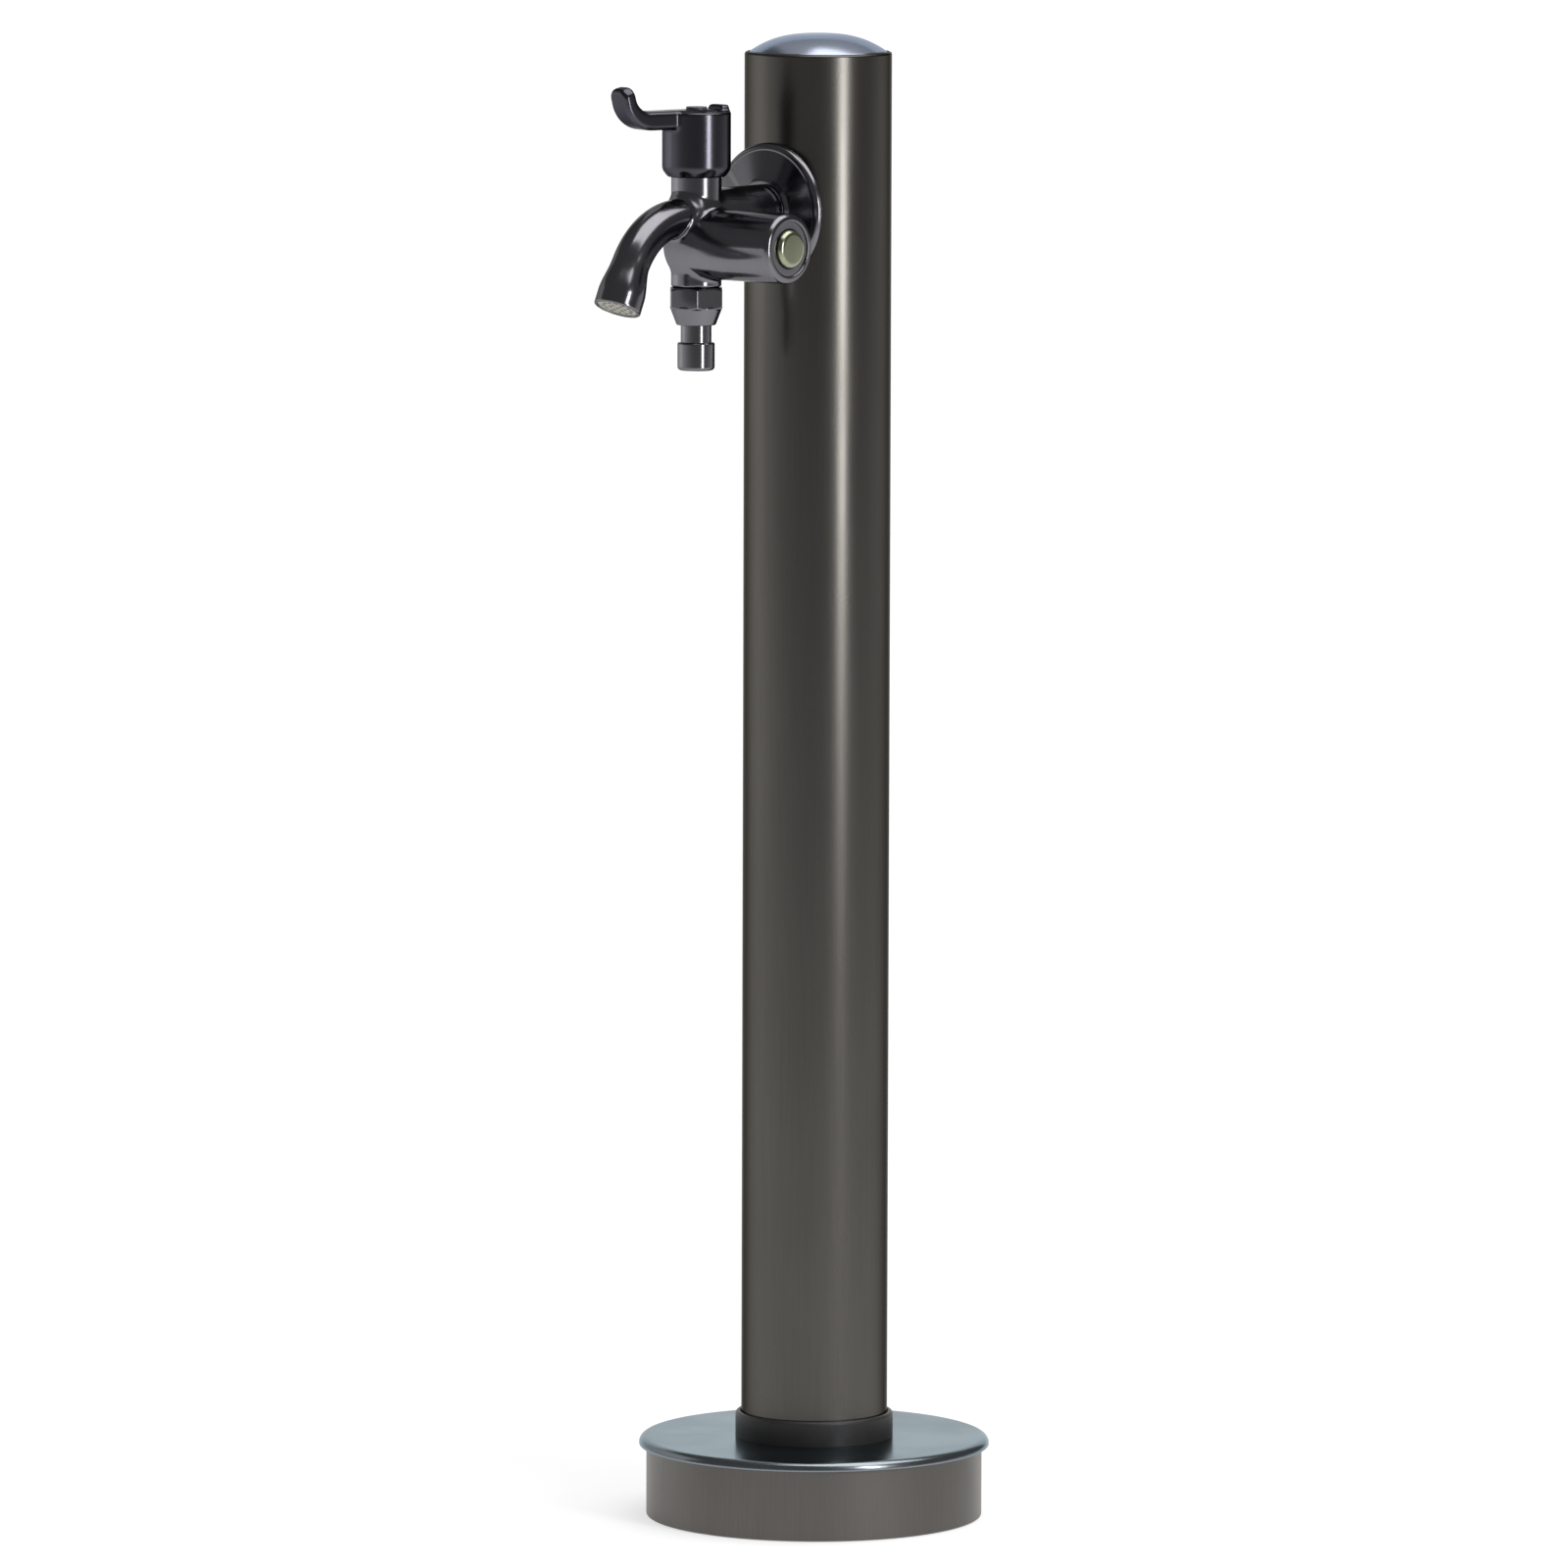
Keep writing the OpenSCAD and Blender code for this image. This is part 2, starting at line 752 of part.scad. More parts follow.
module tap_body() {
    color("silver")
        difference() {
            union() {
                to_front(flange_front, tap_z)
                    cylinder(h = nose_y - nose_cone - flange_front, r = main_r);
                to_front(nose_y - nose_cone, tap_z)
                    cylinder(h = nose_cone, r1 = main_r, r2 = nose_r);
                to_front(nose_y - eps, tap_z)
                    cylinder(h = tongue_len + eps, r = tongue_r);
                at_valve(leg_z)
                    cylinder(h = neck_top - leg_z, r = tower_r);
                at_valve(male_low)
                    cylinder(h = male_len + eps, d = male_d);
                to_side(0)
                    rotate_extrude()
                        polygon(concat([[0, -barrel_back]],
                                       arc(barrel_r - barrel_round, barrel_round - barrel_back, barrel_round,
                                           -90, 0, 5),
                                       arc(barrel_r - barrel_edge, barrel_len - barrel_edge, barrel_edge,
                                           0, 90, 4),
                                       [[0, barrel_len]]));
            }
            to_front(flange_front - eps, tap_z)
                cylinder(h = inlet_depth + eps, r = inlet_r + fit_gap);
            to_front(inlet_front - 1, feed_z)
                cylinder(h = tap_reach - pocket_r - inlet_front + 3, r = feed_r);
            at_valve(pocket_floor)
                cylinder(h = neck_top - pocket_floor + eps, r = pocket_r);
            at_valve(barrel_z)
                cylinder(h = pocket_floor - barrel_z + eps, r = seat_port_r);
            to_side(-chamber_back)
                cylinder(h = gland_x + chamber_back + eps, r = chamber_r);
            to_side(gland_x)
                cylinder(h = barrel_len - gland_x + eps, r = gland_r + fit_gap);
            to_front(tap_reach, front_port_z)
                cylinder(h = barrel_r + 1, r = front_port_r);
            to_front(nose_y - nose_lip, tap_z)
                cylinder(h = tongue_len + 2, r = tongue_bore_r);
            at_valve(male_low - eps)
                cylinder(h = barrel_z - male_low, r = leg_bore_r);
        }
}

module spout() {
    color("silver")
        difference() {
            spout_frame()
                difference() {
                    union() {
                        rotate_extrude(angle = spout_sweep)
                            translate([spout_bend, 0])
                                circle(d = spout_d);
                        spout_tip()
                            translate([0, 0, -eps])
                                cylinder(h = 2 * eps, d = spout_d - 1);
                        spout_tip()
                            cylinder(h = flare_len, d1 = spout_d, d2 = outlet_d);
                        spout_tip()
                            translate([0, 0, flare_len])
                                cylinder(h = spout_end - flare_len, d = outlet_d);
                    }
                    rotate_extrude(angle = spout_sweep)
                        translate([spout_bend, 0])
                            circle(d = spout_bore);
                    translate([spout_bend, 0, 0])
                        rotate([90, 0, 0])
                            cylinder(h = 1, d = spout_bore);
                    spout_tip()
                        cylinder(h = spout_end + eps, d = spout_bore);
                    spout_tip()
                        translate([0, 0, spout_end - insert_t - insert_set])
                            cylinder(h = insert_t + insert_set + eps, r = insert_r + fit_gap);
                }
            to_side(-2 * barrel_r)
                cylinder(h = 4 * barrel_r, r = barrel_r + fit_gap);
        }
}

module outlet_insert() {
    color("ivory")
        spout_frame()
            spout_tip()
                translate([0, 0, spout_end - insert_t - insert_set])
                    difference() {
                        cylinder(h = insert_t, r = insert_r);
                        translate([0, 0, -eps])
                            cylinder(h = insert_t + 2 * eps, r = spray_hole_r);
                        for (i = [0:5])
                            rotate([0, 0, 60 * i])
                                translate([insert_r * 0.36, 0, -eps])
                                    cylinder(h = insert_t + 2 * eps, r = spray_hole_r);
                        for (i = [0:11])
                            rotate([0, 0, 30 * i])
                                translate([insert_r * 0.7, 0, -eps])
                                    cylinder(h = insert_t + 2 * eps, r = spray_hole_r);
                    }
}

module cartridge_body() {
    color("goldenrod")
        difference() {
            union() {
                at_valve(cart_low)
                    cylinder(h = neck_top - cart_low, r = cart_r);
                at_valve(neck_top)
                    cylinder(h = cart_hex_t, d = cart_hex_af / cos(30), $fn = 6);
                at_valve(neck_top + cart_hex_t - eps)
                    cylinder(h = guide_top - neck_top - cart_hex_t + eps, r = guide_r);
            }
            at_valve(cart_low - eps)
                cylinder(h = cage_top - cart_low + eps, r = cage_in);
            at_valve(cart_low)
                cylinder(h = guide_top - cart_low + eps, r = stem_bore);
            at_valve(stem_ring_z)
                cylinder(h = ring_groove_h, r = stem_bore + ring_cord + ring_slack);
            at_valve(foot_z - disc_t)
                translate([-cage_slot_w / 2, -pocket_r - eps, 0])
                    cube([cage_slot_w, 2 * pocket_r + 2 * eps, disc_t + foot_t]);
        }
}

module cartridge_seal() {
    color("black")
        at_valve(pocket_floor)
            difference() {
                cylinder(h = seal_t, r = disc_r);
                translate([0, 0, -eps])
                    cylinder(h = seal_t + 2 * eps, r = seat_port_r + cart_gap);
            }
}

module fixed_disc() {
    color("white")
        at_valve(disc_z)
            difference() {
                cylinder(h = disc_t, r = disc_r);
                for (x = [-1, 1])
                    translate([x * disc_port_x, 0, -eps])
                        cylinder(h = disc_t + 2 * eps, r = disc_port_r);
            }
}

module moving_disc() {
    color("gainsboro")
        at_valve(disc_z + disc_t)
            difference() {
                cylinder(h = disc_t, r = disc_r);
                for (y = [-1, 1])
                    translate([0, y * disc_r, -eps])
                        cylinder(h = disc_t + 2 * eps, r = disc_notch_r);
            }
}

module cartridge_stem() {
    color("goldenrod")
        difference() {
            union() {
                at_valve(foot_z)
                    cylinder(h = foot_t, r = disc_r);
                at_valve(foot_z)
                    cylinder(h = stem_top - foot_z, r = stem_r);
            }
            at_valve(screw_low - 1)
                cylinder(h = stem_top, r = screw_r + fit_gap);
        }
}

module stem_ring() {
    color("black")
        at_valve(stem_ring_z + ring_groove_h / 2)
            seal_ring(stem_bore + ring_cord / 2);
}

module lever_handle() {
    color("darkslategray")
        difference() {
            union() {
                at_valve(0)
                    rotate_extrude()
                        polygon([[0, cup_low + cup_chamfer], [cup_mouth, cup_low], [cup_mouth_out, cup_low],
                                 [cup_r, cup_low + cup_chamfer], [cup_r, cup_top - cup_edge],
                                 [cup_r - cup_edge, cup_top], [0, cup_top]]);
                at_lever(cup_top - rear_lip_root)
                    intersection() {
                        cylinder(h = rear_lip + rear_lip_root, r = rear_lip_r);
                        translate([-rear_lip_w / 2, rear_lip_r - rear_lip_t, -eps])
                            cube([rear_lip_w, cup_r, rear_lip + rear_lip_root + 2 * eps]);
                    }
                intersection() {
                    at_lever(0)
                        rotate([90, 0, -90])
                            translate([0, 0, -lever_w])
                                linear_extrude(2 * lever_w)
                                    polygon(concat([[-pad_back - pad_slope, arm_z - lever_t / 2]],
                                                   curl(1, 10),
                                                   arc(lever_reach + lever_bend * sin(lever_curl)
                                                       + tip_run * cos(lever_curl),
                                                       curl_z - lever_bend * cos(lever_curl)
                                                       + tip_run * sin(lever_curl),
                                                       tip_t / 2, lever_curl - 90, lever_curl + 90, 6),
                                                   [for (i = [10:-1:0]) curl(-1, 10)[i]],
                                                   [[-pad_back, pad_top]]));
                    at_lever(0)
                        to_front(-cup_r, 0)
                            linear_extrude(cup_r + lever_reach + 2 * lever_bend + lever_t)
                                union() {
                                    translate([-lever_w / 2, cup_low])
                                        square([lever_w, curl_z - cup_low]);
                                    translate([0, curl_z])
                                        circle(d = lever_w);
                                }
                }
            }
            at_valve(cup_low - eps)
                cylinder(h = cup_chamfer + 2 * eps, r = cup_mouth);
            difference() {
                at_valve(cup_low + cup_chamfer)
                    cylinder(h = cup_roof - cup_low - cup_chamfer, r = cup_in);
                at_valve(hub_low)
                    cylinder(h = cup_roof - hub_low + eps, r = hub_r);
            }
            at_valve(hub_low - eps)
                cylinder(h = stem_top - hub_low + 2 * eps, r = stem_r + fit_gap);
            at_valve(stem_top)
                cylinder(h = cup_top, r = screw_r + hole_gap);
            at_valve(screw_seat)
                cylinder(h = cup_top, r = screw_head_r + hole_gap);
            at_valve(index_seat)
                cylinder(h = cup_top, r = index_r + fit_gap);
        }
}

module handle_screw() {
    color("silver")
        difference() {
            union() {
                at_valve(screw_low)
                    cylinder(h = screw_seat - screw_low + eps, r = screw_r);
                at_valve(screw_seat)
                    cylinder(h = screw_head_t, r = screw_head_r);
            }
            at_valve(screw_seat + screw_head_t / 2)
                cylinder(h = screw_head_t, r = screw_head_r / 2, $fn = 6);
        }
}

module index_disc() {
    color("gray")
        at_valve(index_seat)
            cylinder(h = index_sink + index_out, r = index_r);
}

module selector_vane() {
    color("goldenrod")
        union() {
            to_side(journal_x)
                cylinder(h = select_stem_end - journal_x, r = stem_r);
            to_side(journal_x)
                cylinder(h = journal_t, r = blade_r);
            intersection() {
                to_side(blade_x)
                    difference() {
                        cylinder(h = journal_x - blade_x + eps, r = blade_r);
                        translate([0, 0, -eps])
                            cylinder(h = journal_x - blade_x + 3 * eps, r = blade_in);
                    }
                to_side(blade_x - eps)
                    linear_extrude(journal_x - blade_x + 3 * eps)
                        polygon([[0, 0],
                                 [2 * blade_r * cos(blade_angle / 2), -2 * blade_r * sin(blade_angle / 2)],
                                 [2 * blade_r, 0],
                                 [2 * blade_r * cos(blade_angle / 2), 2 * blade_r * sin(blade_angle / 2)]]);
            }
        }
}

module selector_gland() {
    color("goldenrod")
        difference() {
            to_side(gland_x)
                cylinder(h = gland_front - gland_x, r = gland_r);
            to_side(gland_x - eps)
                cylinder(h = gland_floor + 2 * eps, r = stem_bore);
            to_side(gland_x + gland_floor)
                cylinder(h = barrel_len, r = knob_cup);
            to_side(select_ring_x)
                cylinder(h = ring_groove_h, r = stem_bore + ring_cord + ring_slack);
        }
}

module selector_ring() {
    color("black")
        to_side(select_ring_x + ring_groove_h / 2)
            seal_ring(stem_bore + ring_cord / 2);
}

module selector_knob() {
    color("whitesmoke")
        difference() {
            to_side(0)
                rotate_extrude()
                    polygon(concat([[0, knob_x], [knob_r, knob_x]],
                                   arc(knob_r - knob_edge, knob_end - knob_edge, knob_edge, 0, 90, 5),
                                   [[0, knob_end]]));
            to_side(knob_x - eps)
                cylinder(h = select_stem_end - knob_x + eps, r = stem_r);
        }
}

module union_nut() {
    color("silver")
        difference() {
            union() {
                at_valve(nut_mid)
                    rotate([0, 0, nut_turn])
                        cylinder(h = nut_hex_h, d = nut_af / cos(30), $fn = 6);
                at_valve(nut_low)
                    cylinder(h = nut_taper_h, r1 = nut_low_r, r2 = nut_af / 2);
            }
            at_valve(nut_floor)
                cylinder(h = nut_top - nut_floor + eps, r = nut_bore);
            at_valve(nut_low - eps)
                cylinder(h = nut_top - nut_low, r = nut_mouth);
        }
}

module nipple_washer() {
    color("black")
        at_valve(male_low - washer_t)
            difference() {
                cylinder(h = washer_t, r = nip_flange_r);
                translate([0, 0, -eps])
                    cylinder(h = washer_t + 2 * eps, r = leg_bore_r);
            }
}

module hose_nipple() {
    color("silver")
        difference() {
            at_valve(0)
                rotate_extrude()
                    polygon(concat([[0, nip_low]],
                                   arc(nipple_d / 2 - nip_round, nip_low + nip_round, nip_round, -90, 0, 4),
                                   [[nipple_d / 2, nip_low + nipple_len - nip_bevel],
                                    [nipple_d / 2 - nip_bevel, nip_low + nipple_len],
                                    [neck_d / 2, nip_low + nipple_len], [neck_d / 2, nut_floor],
                                    [nip_flange_r, nut_floor], [nip_flange_r, nut_floor + nip_flange_t],
                                    [0, nut_floor + nip_flange_t]]));
            at_valve(nip_low - eps)
                cylinder(h = nut_top - nip_low, d = nipple_bore);
        }
}

base_plate();
foot_screws();
supply_socket();
socket_screws();
column_tube();
cap_ring();
column_cap();
base_drum();
base_lid();
foot_collar();
riser_pipe();
riser_rings();
riser_spacer();
tap_elbow();
elbow_packing();
wall_bush();
inlet_nipple();
wall_flange();
tap_body();
spout();
outlet_insert();
cartridge_body();
cartridge_seal();
fixed_disc();
moving_disc();
cartridge_stem();
stem_ring();
lever_handle();
handle_screw();
index_disc();
selector_vane();
selector_gland();
selector_ring();
selector_knob();
union_nut();
nipple_washer();
hose_nipple();
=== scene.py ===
"""Looks of the garden standpipe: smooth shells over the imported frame, finishes, light and camera."""

import json
import math

import bmesh
import bpy
import numpy as np
from mathutils import Matrix, Vector


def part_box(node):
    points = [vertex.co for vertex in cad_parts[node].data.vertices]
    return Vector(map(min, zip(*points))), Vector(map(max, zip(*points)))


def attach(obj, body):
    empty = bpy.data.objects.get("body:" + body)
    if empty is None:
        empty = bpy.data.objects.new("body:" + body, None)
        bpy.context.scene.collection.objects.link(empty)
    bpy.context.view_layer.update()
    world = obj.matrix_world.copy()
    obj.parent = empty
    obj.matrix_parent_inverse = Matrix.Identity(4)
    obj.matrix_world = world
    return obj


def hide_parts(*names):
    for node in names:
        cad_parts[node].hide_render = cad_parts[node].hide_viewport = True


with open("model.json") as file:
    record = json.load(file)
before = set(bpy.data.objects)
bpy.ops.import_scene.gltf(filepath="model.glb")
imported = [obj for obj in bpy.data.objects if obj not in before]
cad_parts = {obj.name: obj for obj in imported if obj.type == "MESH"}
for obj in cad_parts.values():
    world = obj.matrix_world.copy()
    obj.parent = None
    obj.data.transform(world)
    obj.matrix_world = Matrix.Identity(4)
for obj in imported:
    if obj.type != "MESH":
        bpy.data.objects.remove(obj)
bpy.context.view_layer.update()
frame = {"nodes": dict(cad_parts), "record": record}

MM = 0.001
TINY = 1e-6
FAR = 1000.0
WHITE = (1, 1, 1)

# Fineness of the meshes, with cells and steps in millimetres
TURNS = 192
SMALL_TURNS = 128
BUTTON_TURNS = 96
ARC_STEPS = 7
DOME_STEPS = 40
DOME_CROWDING = 1.8
NORMAL_WEIGHT = 80
PLATE_CELL = 0.8
CAST_CELL = 0.6
NUT_CELL = 0.4
SCREW_CELL = 0.25
SLOPE_STEP = 0.02
LEAST_SLOPE = 0.05
EVEN_ROUNDS = 8
EVEN_SHARE = 0.5
SLIDE_ROUNDS = 2


# Measures of the frame, in millimetres
def low_mm(node):
    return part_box(node)[0] / MM


def high_mm(node):
    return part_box(node)[1] / MM


def middle_mm(node):
    return (low_mm(node) + high_mm(node)) / 2


column_r = high_mm("column_tube").x
column_low = low_mm("column_tube").z
column_top = high_mm("column_tube").z
crown = high_mm("column_cap").z
drum_r = high_mm("base_drum").x
drum_low = low_mm("base_drum").z
lid_r = high_mm("base_lid").x
lid_top = high_mm("base_lid").z
lid_low = high_mm("base_drum").z
plate_r = high_mm("base_plate").x
spigot_top = high_mm("base_plate").z
collar_top = high_mm("foot_collar").z
collar_low = low_mm("foot_collar").z
collar_foot_r = high_mm("foot_collar").x
valve_y = middle_mm("cartridge_stem").y
tap_z = middle_mm("inlet_nipple").z
barrel_z = middle_mm("selector_knob").z
barrel_end = high_mm("tap_body").x
main_r = -low_mm("tap_body").x
neck_top = high_mm("tap_body").z
male_low = low_mm("tap_body").z
flange_r = high_mm("wall_flange").x
flange_back = high_mm("wall_flange").y
flange_front = low_mm("wall_flange").y
cup_low = low_mm("lever_handle").z
nut_low = low_mm("union_nut").z
nut_top = high_mm("union_nut").z
nipple_low = low_mm("hose_nipple").z
nipple_top = high_mm("hose_nipple").z
knob_r = high_mm("selector_knob").z - barrel_z
knob_back = low_mm("selector_knob").x
knob_end = high_mm("selector_knob").x
gland_back = low_mm("selector_gland").x
gland_r = high_mm("selector_gland").z - barrel_z
index_r = high_mm("index_disc").x
index_low = low_mm("index_disc").z
index_top = high_mm("index_disc").z

# Shared small sizes in millimetres: three roundings of edges, room round a seated piece,
# depth that joined shapes have in common, and how far a cut runs past the surface
HAIR = 0.2
BREAK = 0.3
SOFT = 0.4
SEAT_GAP = 0.05
LAP = 1.0
PAST = 5.0

# Sizes that the boxes don't give, in millimetres
COLUMN_WALL = 1.5
COLUMN_TOP_ROUND = 0.15
RIM_ROUND = 1.2
CAP_FULLNESS = 2.7
CAP_SEAM = 0.55
CAP_SEAM_DEPTH = 2.0
CAP_SEAM_IN = 0.4
CAP_TURN_IN = 0.1
CAP_TURN_DOWN = 0.6
CAP_PLUG = 14.0
PLATE_T = 8.0
PLATE_EDGE = 0.8
SPIGOT_ROOT = 2.0
SPIGOT_EDGE = 0.6
SPIGOT_WALL = 3.0
SPIGOT_GAP = 0.05
SOCKET_HOLE = 13.5
ANCHOR_AT = 52.0 / math.sqrt(2)
ANCHOR_R = 5.5
ANCHOR_EDGE = 0.7
FOOT_SCREWS = 3
FOOT_SCREW_TURN = 90
FOOT_SCREW_Z = 17.9
FOOT_SCREW_R = 2.5
FOOT_HEAD_R = 4.2
FOOT_HEAD_T = 2.2
FOOT_HEAD_GAP = 0.1
FOOT_HEAD_EDGE = 0.9
FOOT_KEY = 1.82
DRUM_WALL = 1.5
DRUM_FOOT_ROUND = 0.7
LID_SHEET = 2.0
LID_CORNER = 0.5
LIP_ROUND = 3.2
LIP_UNDER_ROUND = 0.6
LID_HOLE = 33.15
RIB_OUT = 71.45
RIB_IN = 69.45
RIB_LOW = 28.0
COLLAR_IN = 32.05
COLLAR_NECK = 33.1
COLLAR_OUT = 34.25
COLLAR_ROUND = 1.6
FLANGE_LIP = 3.1
FLANGE_LIP_ROUND = 2.5
FLANGE_GROOVE = 0.4
FLANGE_GROOVE_ROUND = 0.6
FLANGE_DISH = 5.1
FLANGE_ROOT = 14.8
FLANGE_ROOT_ROUND = 1.2
FLANGE_WALL = 1.3
FLANGE_NOSE = 13.2
FLANGE_NOSE_ROUND = 0.8
FLANGE_BORE = 10.6
FLANGE_STEP = 1.0
MAIN_EDGE = 0.6
TOWER_R = 10.8
TOWER_EDGE = 0.5
TOWER_FILLET = 2.0
BARREL_R = 15.0
BARREL_BACK = 7.0
BARREL_EDGE = 2.4
BARREL_FILLET = 1.8
GLAND_EDGE = 0.1
LEG_LOW = barrel_z - 18.3
MALE_R = 9.8
NOSE_Y = valve_y - TOWER_R - 0.7
NOSE_CONE = 5.0
NOSE_R = 9.0
NOSE_EDGE = 1.0
SPOUT_R = 8.2
SPOUT_BEND = 36.0
SPOUT_SWEEP = math.radians(65)
SPOUT_END = 17.5
SPOUT_FLARE = 15.0
SPOUT_FLARE_LEAD = 0.25
SPOUT_EDGE = 0.7
SPOUT_ROOT = 2.2
SPOUT_ROOT_STEP = 0.2
OUTLET_R = 10.2
INSERT_R = 8.75
INSERT_DEPTH = 5.1
CUP_R = 14.7
CUP_TOP = cup_low + 28.0
CUP_EDGE = 0.9
CUP_MOUTH = 11.2
CUP_RIM = 1.0
CUP_HOLLOW = 16.0
CUP_HOLLOW_EDGE = 0.5
CUP_CHAMFER = 3.3
CUP_CHAMFER_EDGE = 0.8
LEVER_REACH = 26.5
LEVER_T = 8.0
LEVER_TIP_T = 6.0
LEVER_W = 12.6
LEVER_BEND = 11.0
LEVER_CURL = math.radians(76)
LEVER_TURN = math.radians(-15)
LEVER_TIP = 6.2
LEVER_TIP_ROUND = 4.6
LEVER_EDGE = 2.0
LEVER_LIFT = 0.8
LEVER_PAD = 6.5
LEVER_PAD_EDGE = 0.8
LEVER_FILLET = 1.2
REAR_LIP = 2.6
REAR_LIP_W = 11.0
REAR_LIP_T = 4.5
REAR_LIP_INSET = 0.8
REAR_LIP_SUNK = 3.0
REAR_LIP_BACK = 0.3
REAR_LIP_EDGE = 1.0
REAR_LIP_CROWN = 1.8
REAR_LIP_FILLET = 1.4
INDEX_FOOT_ROUND = 0.1
INDEX_ROUND = 0.35
KNOB_ROUND = 2.4
NUT_HALF = 11.0
NUT_FLAT_EDGE = 0.35
NUT_CHAMFER_START = 0.1
NUT_CHAMFER_ACROSS = 0.5
NUT_CHAMFER_UP = 0.866
NUT_BORE_GAP = 0.3
NUT_TURN = math.radians(12)
NUT_HEX_LOW = nut_low + 6.8
NUT_END_R = 8.4
NIPPLE_R = 8.0
NIPPLE_NECK_R = 6.6
NIPPLE_LEN = 12.0
NIPPLE_BORE = 4.5
NIPPLE_END_ROUND = 1.6
NIPPLE_COLLAR_ROUND = 0.8


# Frame bookkeeping
body_of_node = {n: b for b, ns in frame["record"]["behaviour"]["bodies"].items() for n in ns}
slot_of_node = {p["node"]: p["material_slot"] for p in frame["record"]["subparts"]}


def dress(piece, node, material):
    """The piece stands for a CAD node: it rides on the node's body and takes its slot."""
    piece.data.materials.append(material)
    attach(piece, body_of_node[node])
    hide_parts(node)


def finish_node(node, material):
    """A CAD node that stays gets its procedural material."""
    slots = frame["nodes"][node].data.materials
    slots.clear()
    slots.append(material)


# Turned shapes
def rounded(corners):
    """Closed outline through corners (radius, height, rounding), with each corner as an arc."""
    points = []
    count = len(corners)
    for i, (u, v, r) in enumerate(corners):
        here = Vector((u, v))
        if r < TINY:
            points.append(here)
            continue
        back = (Vector(corners[i - 1][:2]) - here).normalized()
        ahead = (Vector(corners[(i + 1) % count][:2]) - here).normalized()
        half = back.angle(ahead) / 2
        centre = here + (back + ahead).normalized() * (r / math.sin(half))
        start = here + back * (r / math.tan(half)) - centre
        end = here + ahead * (r / math.tan(half)) - centre
        turn = start.angle_signed(end)
        for k in range(ARC_STEPS + 1):
            points.append(centre + Matrix.Rotation(-turn * k / ARC_STEPS, 2) @ start)
    return [tuple(p) for p in points]


def lathe(name, outline, place=Matrix.Identity(4), turns=TURNS):
    """Turned solid from a closed outline of (radius, height) points, in millimetres."""
    bm = bmesh.new()
    around = [2 * math.pi * i / turns for i in range(turns)]
    rings = []
    for r, h in outline:
        if r < TINY:
            rings.append([bm.verts.new((0, 0, h * MM))])
        else:
            ring = [(r * MM * math.cos(a), r * MM * math.sin(a), h * MM) for a in around]
            rings.append([bm.verts.new(point) for point in ring])
    for a, b in zip(rings, rings[1:] + rings[:1]):
        if len(a) == 1 and len(b) == 1:
            continue
        for i in range(turns):
            j = (i + 1) % turns
            quad = [a[i % len(a)], a[j % len(a)], b[j % len(b)], b[i % len(b)]]
            bm.faces.new(list(dict.fromkeys(quad)))
    bmesh.ops.recalc_face_normals(bm, faces=bm.faces)
    mesh = bpy.data.meshes.new(name)
    bm.to_mesh(mesh)
    bm.free()
    mesh.transform(place)
    piece = add_piece(name, mesh)
    even = piece.modifiers.new("even shading", "WEIGHTED_NORMAL")
    even.weight = NORMAL_WEIGHT
    return piece


def add_piece(name, mesh):
    """A smooth shaded object with that mesh, in the scene."""
    mesh.shade_smooth()
    piece = bpy.data.objects.new(name, mesh)
    bpy.context.scene.collection.objects.link(piece)
    return piece


def along_front(y, z):
    """Placement that points a turned shape's height along the spout's direction, -Y."""
    return Matrix.Translation((0, y * MM, z * MM)) @ Matrix.Rotation(math.pi / 2, 4, "X")


def along_side():
    """Placement that points a turned shape's height along the side barrel, +X."""
    return Matrix.Translation((0, valve_y * MM, barrel_z * MM)) @ Matrix.Rotation(math.pi / 2, 4, "Y")


def over_valve():
    """Placement that stands a turned shape on the valve's axis."""
    return Matrix.Translation((0, valve_y * MM, 0))


# Cast shapes, from distance fields in millimetres
def rod(radial, along, low, high, r, edge):
    """Distance to a round rod with rounded end edges."""
    side = radial - r + edge
    end = np.maximum(low - along, along - high) + edge
    return np.minimum(np.maximum(side, end), 0) + np.hypot(np.maximum(side, 0), np.maximum(end, 0)) - edge


def join(a, b, r):
    """Union of two shapes with a fillet of radius r."""
    return np.maximum(r, np.minimum(a, b)) - np.hypot(np.maximum(r - a, 0), np.maximum(r - b, 0))


def cut(a, b, r):
    """Shape a without shape b, with the edge rounded to radius r."""
    return -join(-a, b, r)


def common(a, b, r):
    """What two shapes share, with the edge rounded to radius r."""
    return -join(-a, -b, r)


def slope(field, p):
    """Gradient of a field at points p, one point per row."""
    shift = np.eye(3) * SLOPE_STEP
    return np.stack([field(*(p + s).T) - field(*(p - s).T) for s in shift], 1) / (2 * SLOPE_STEP)


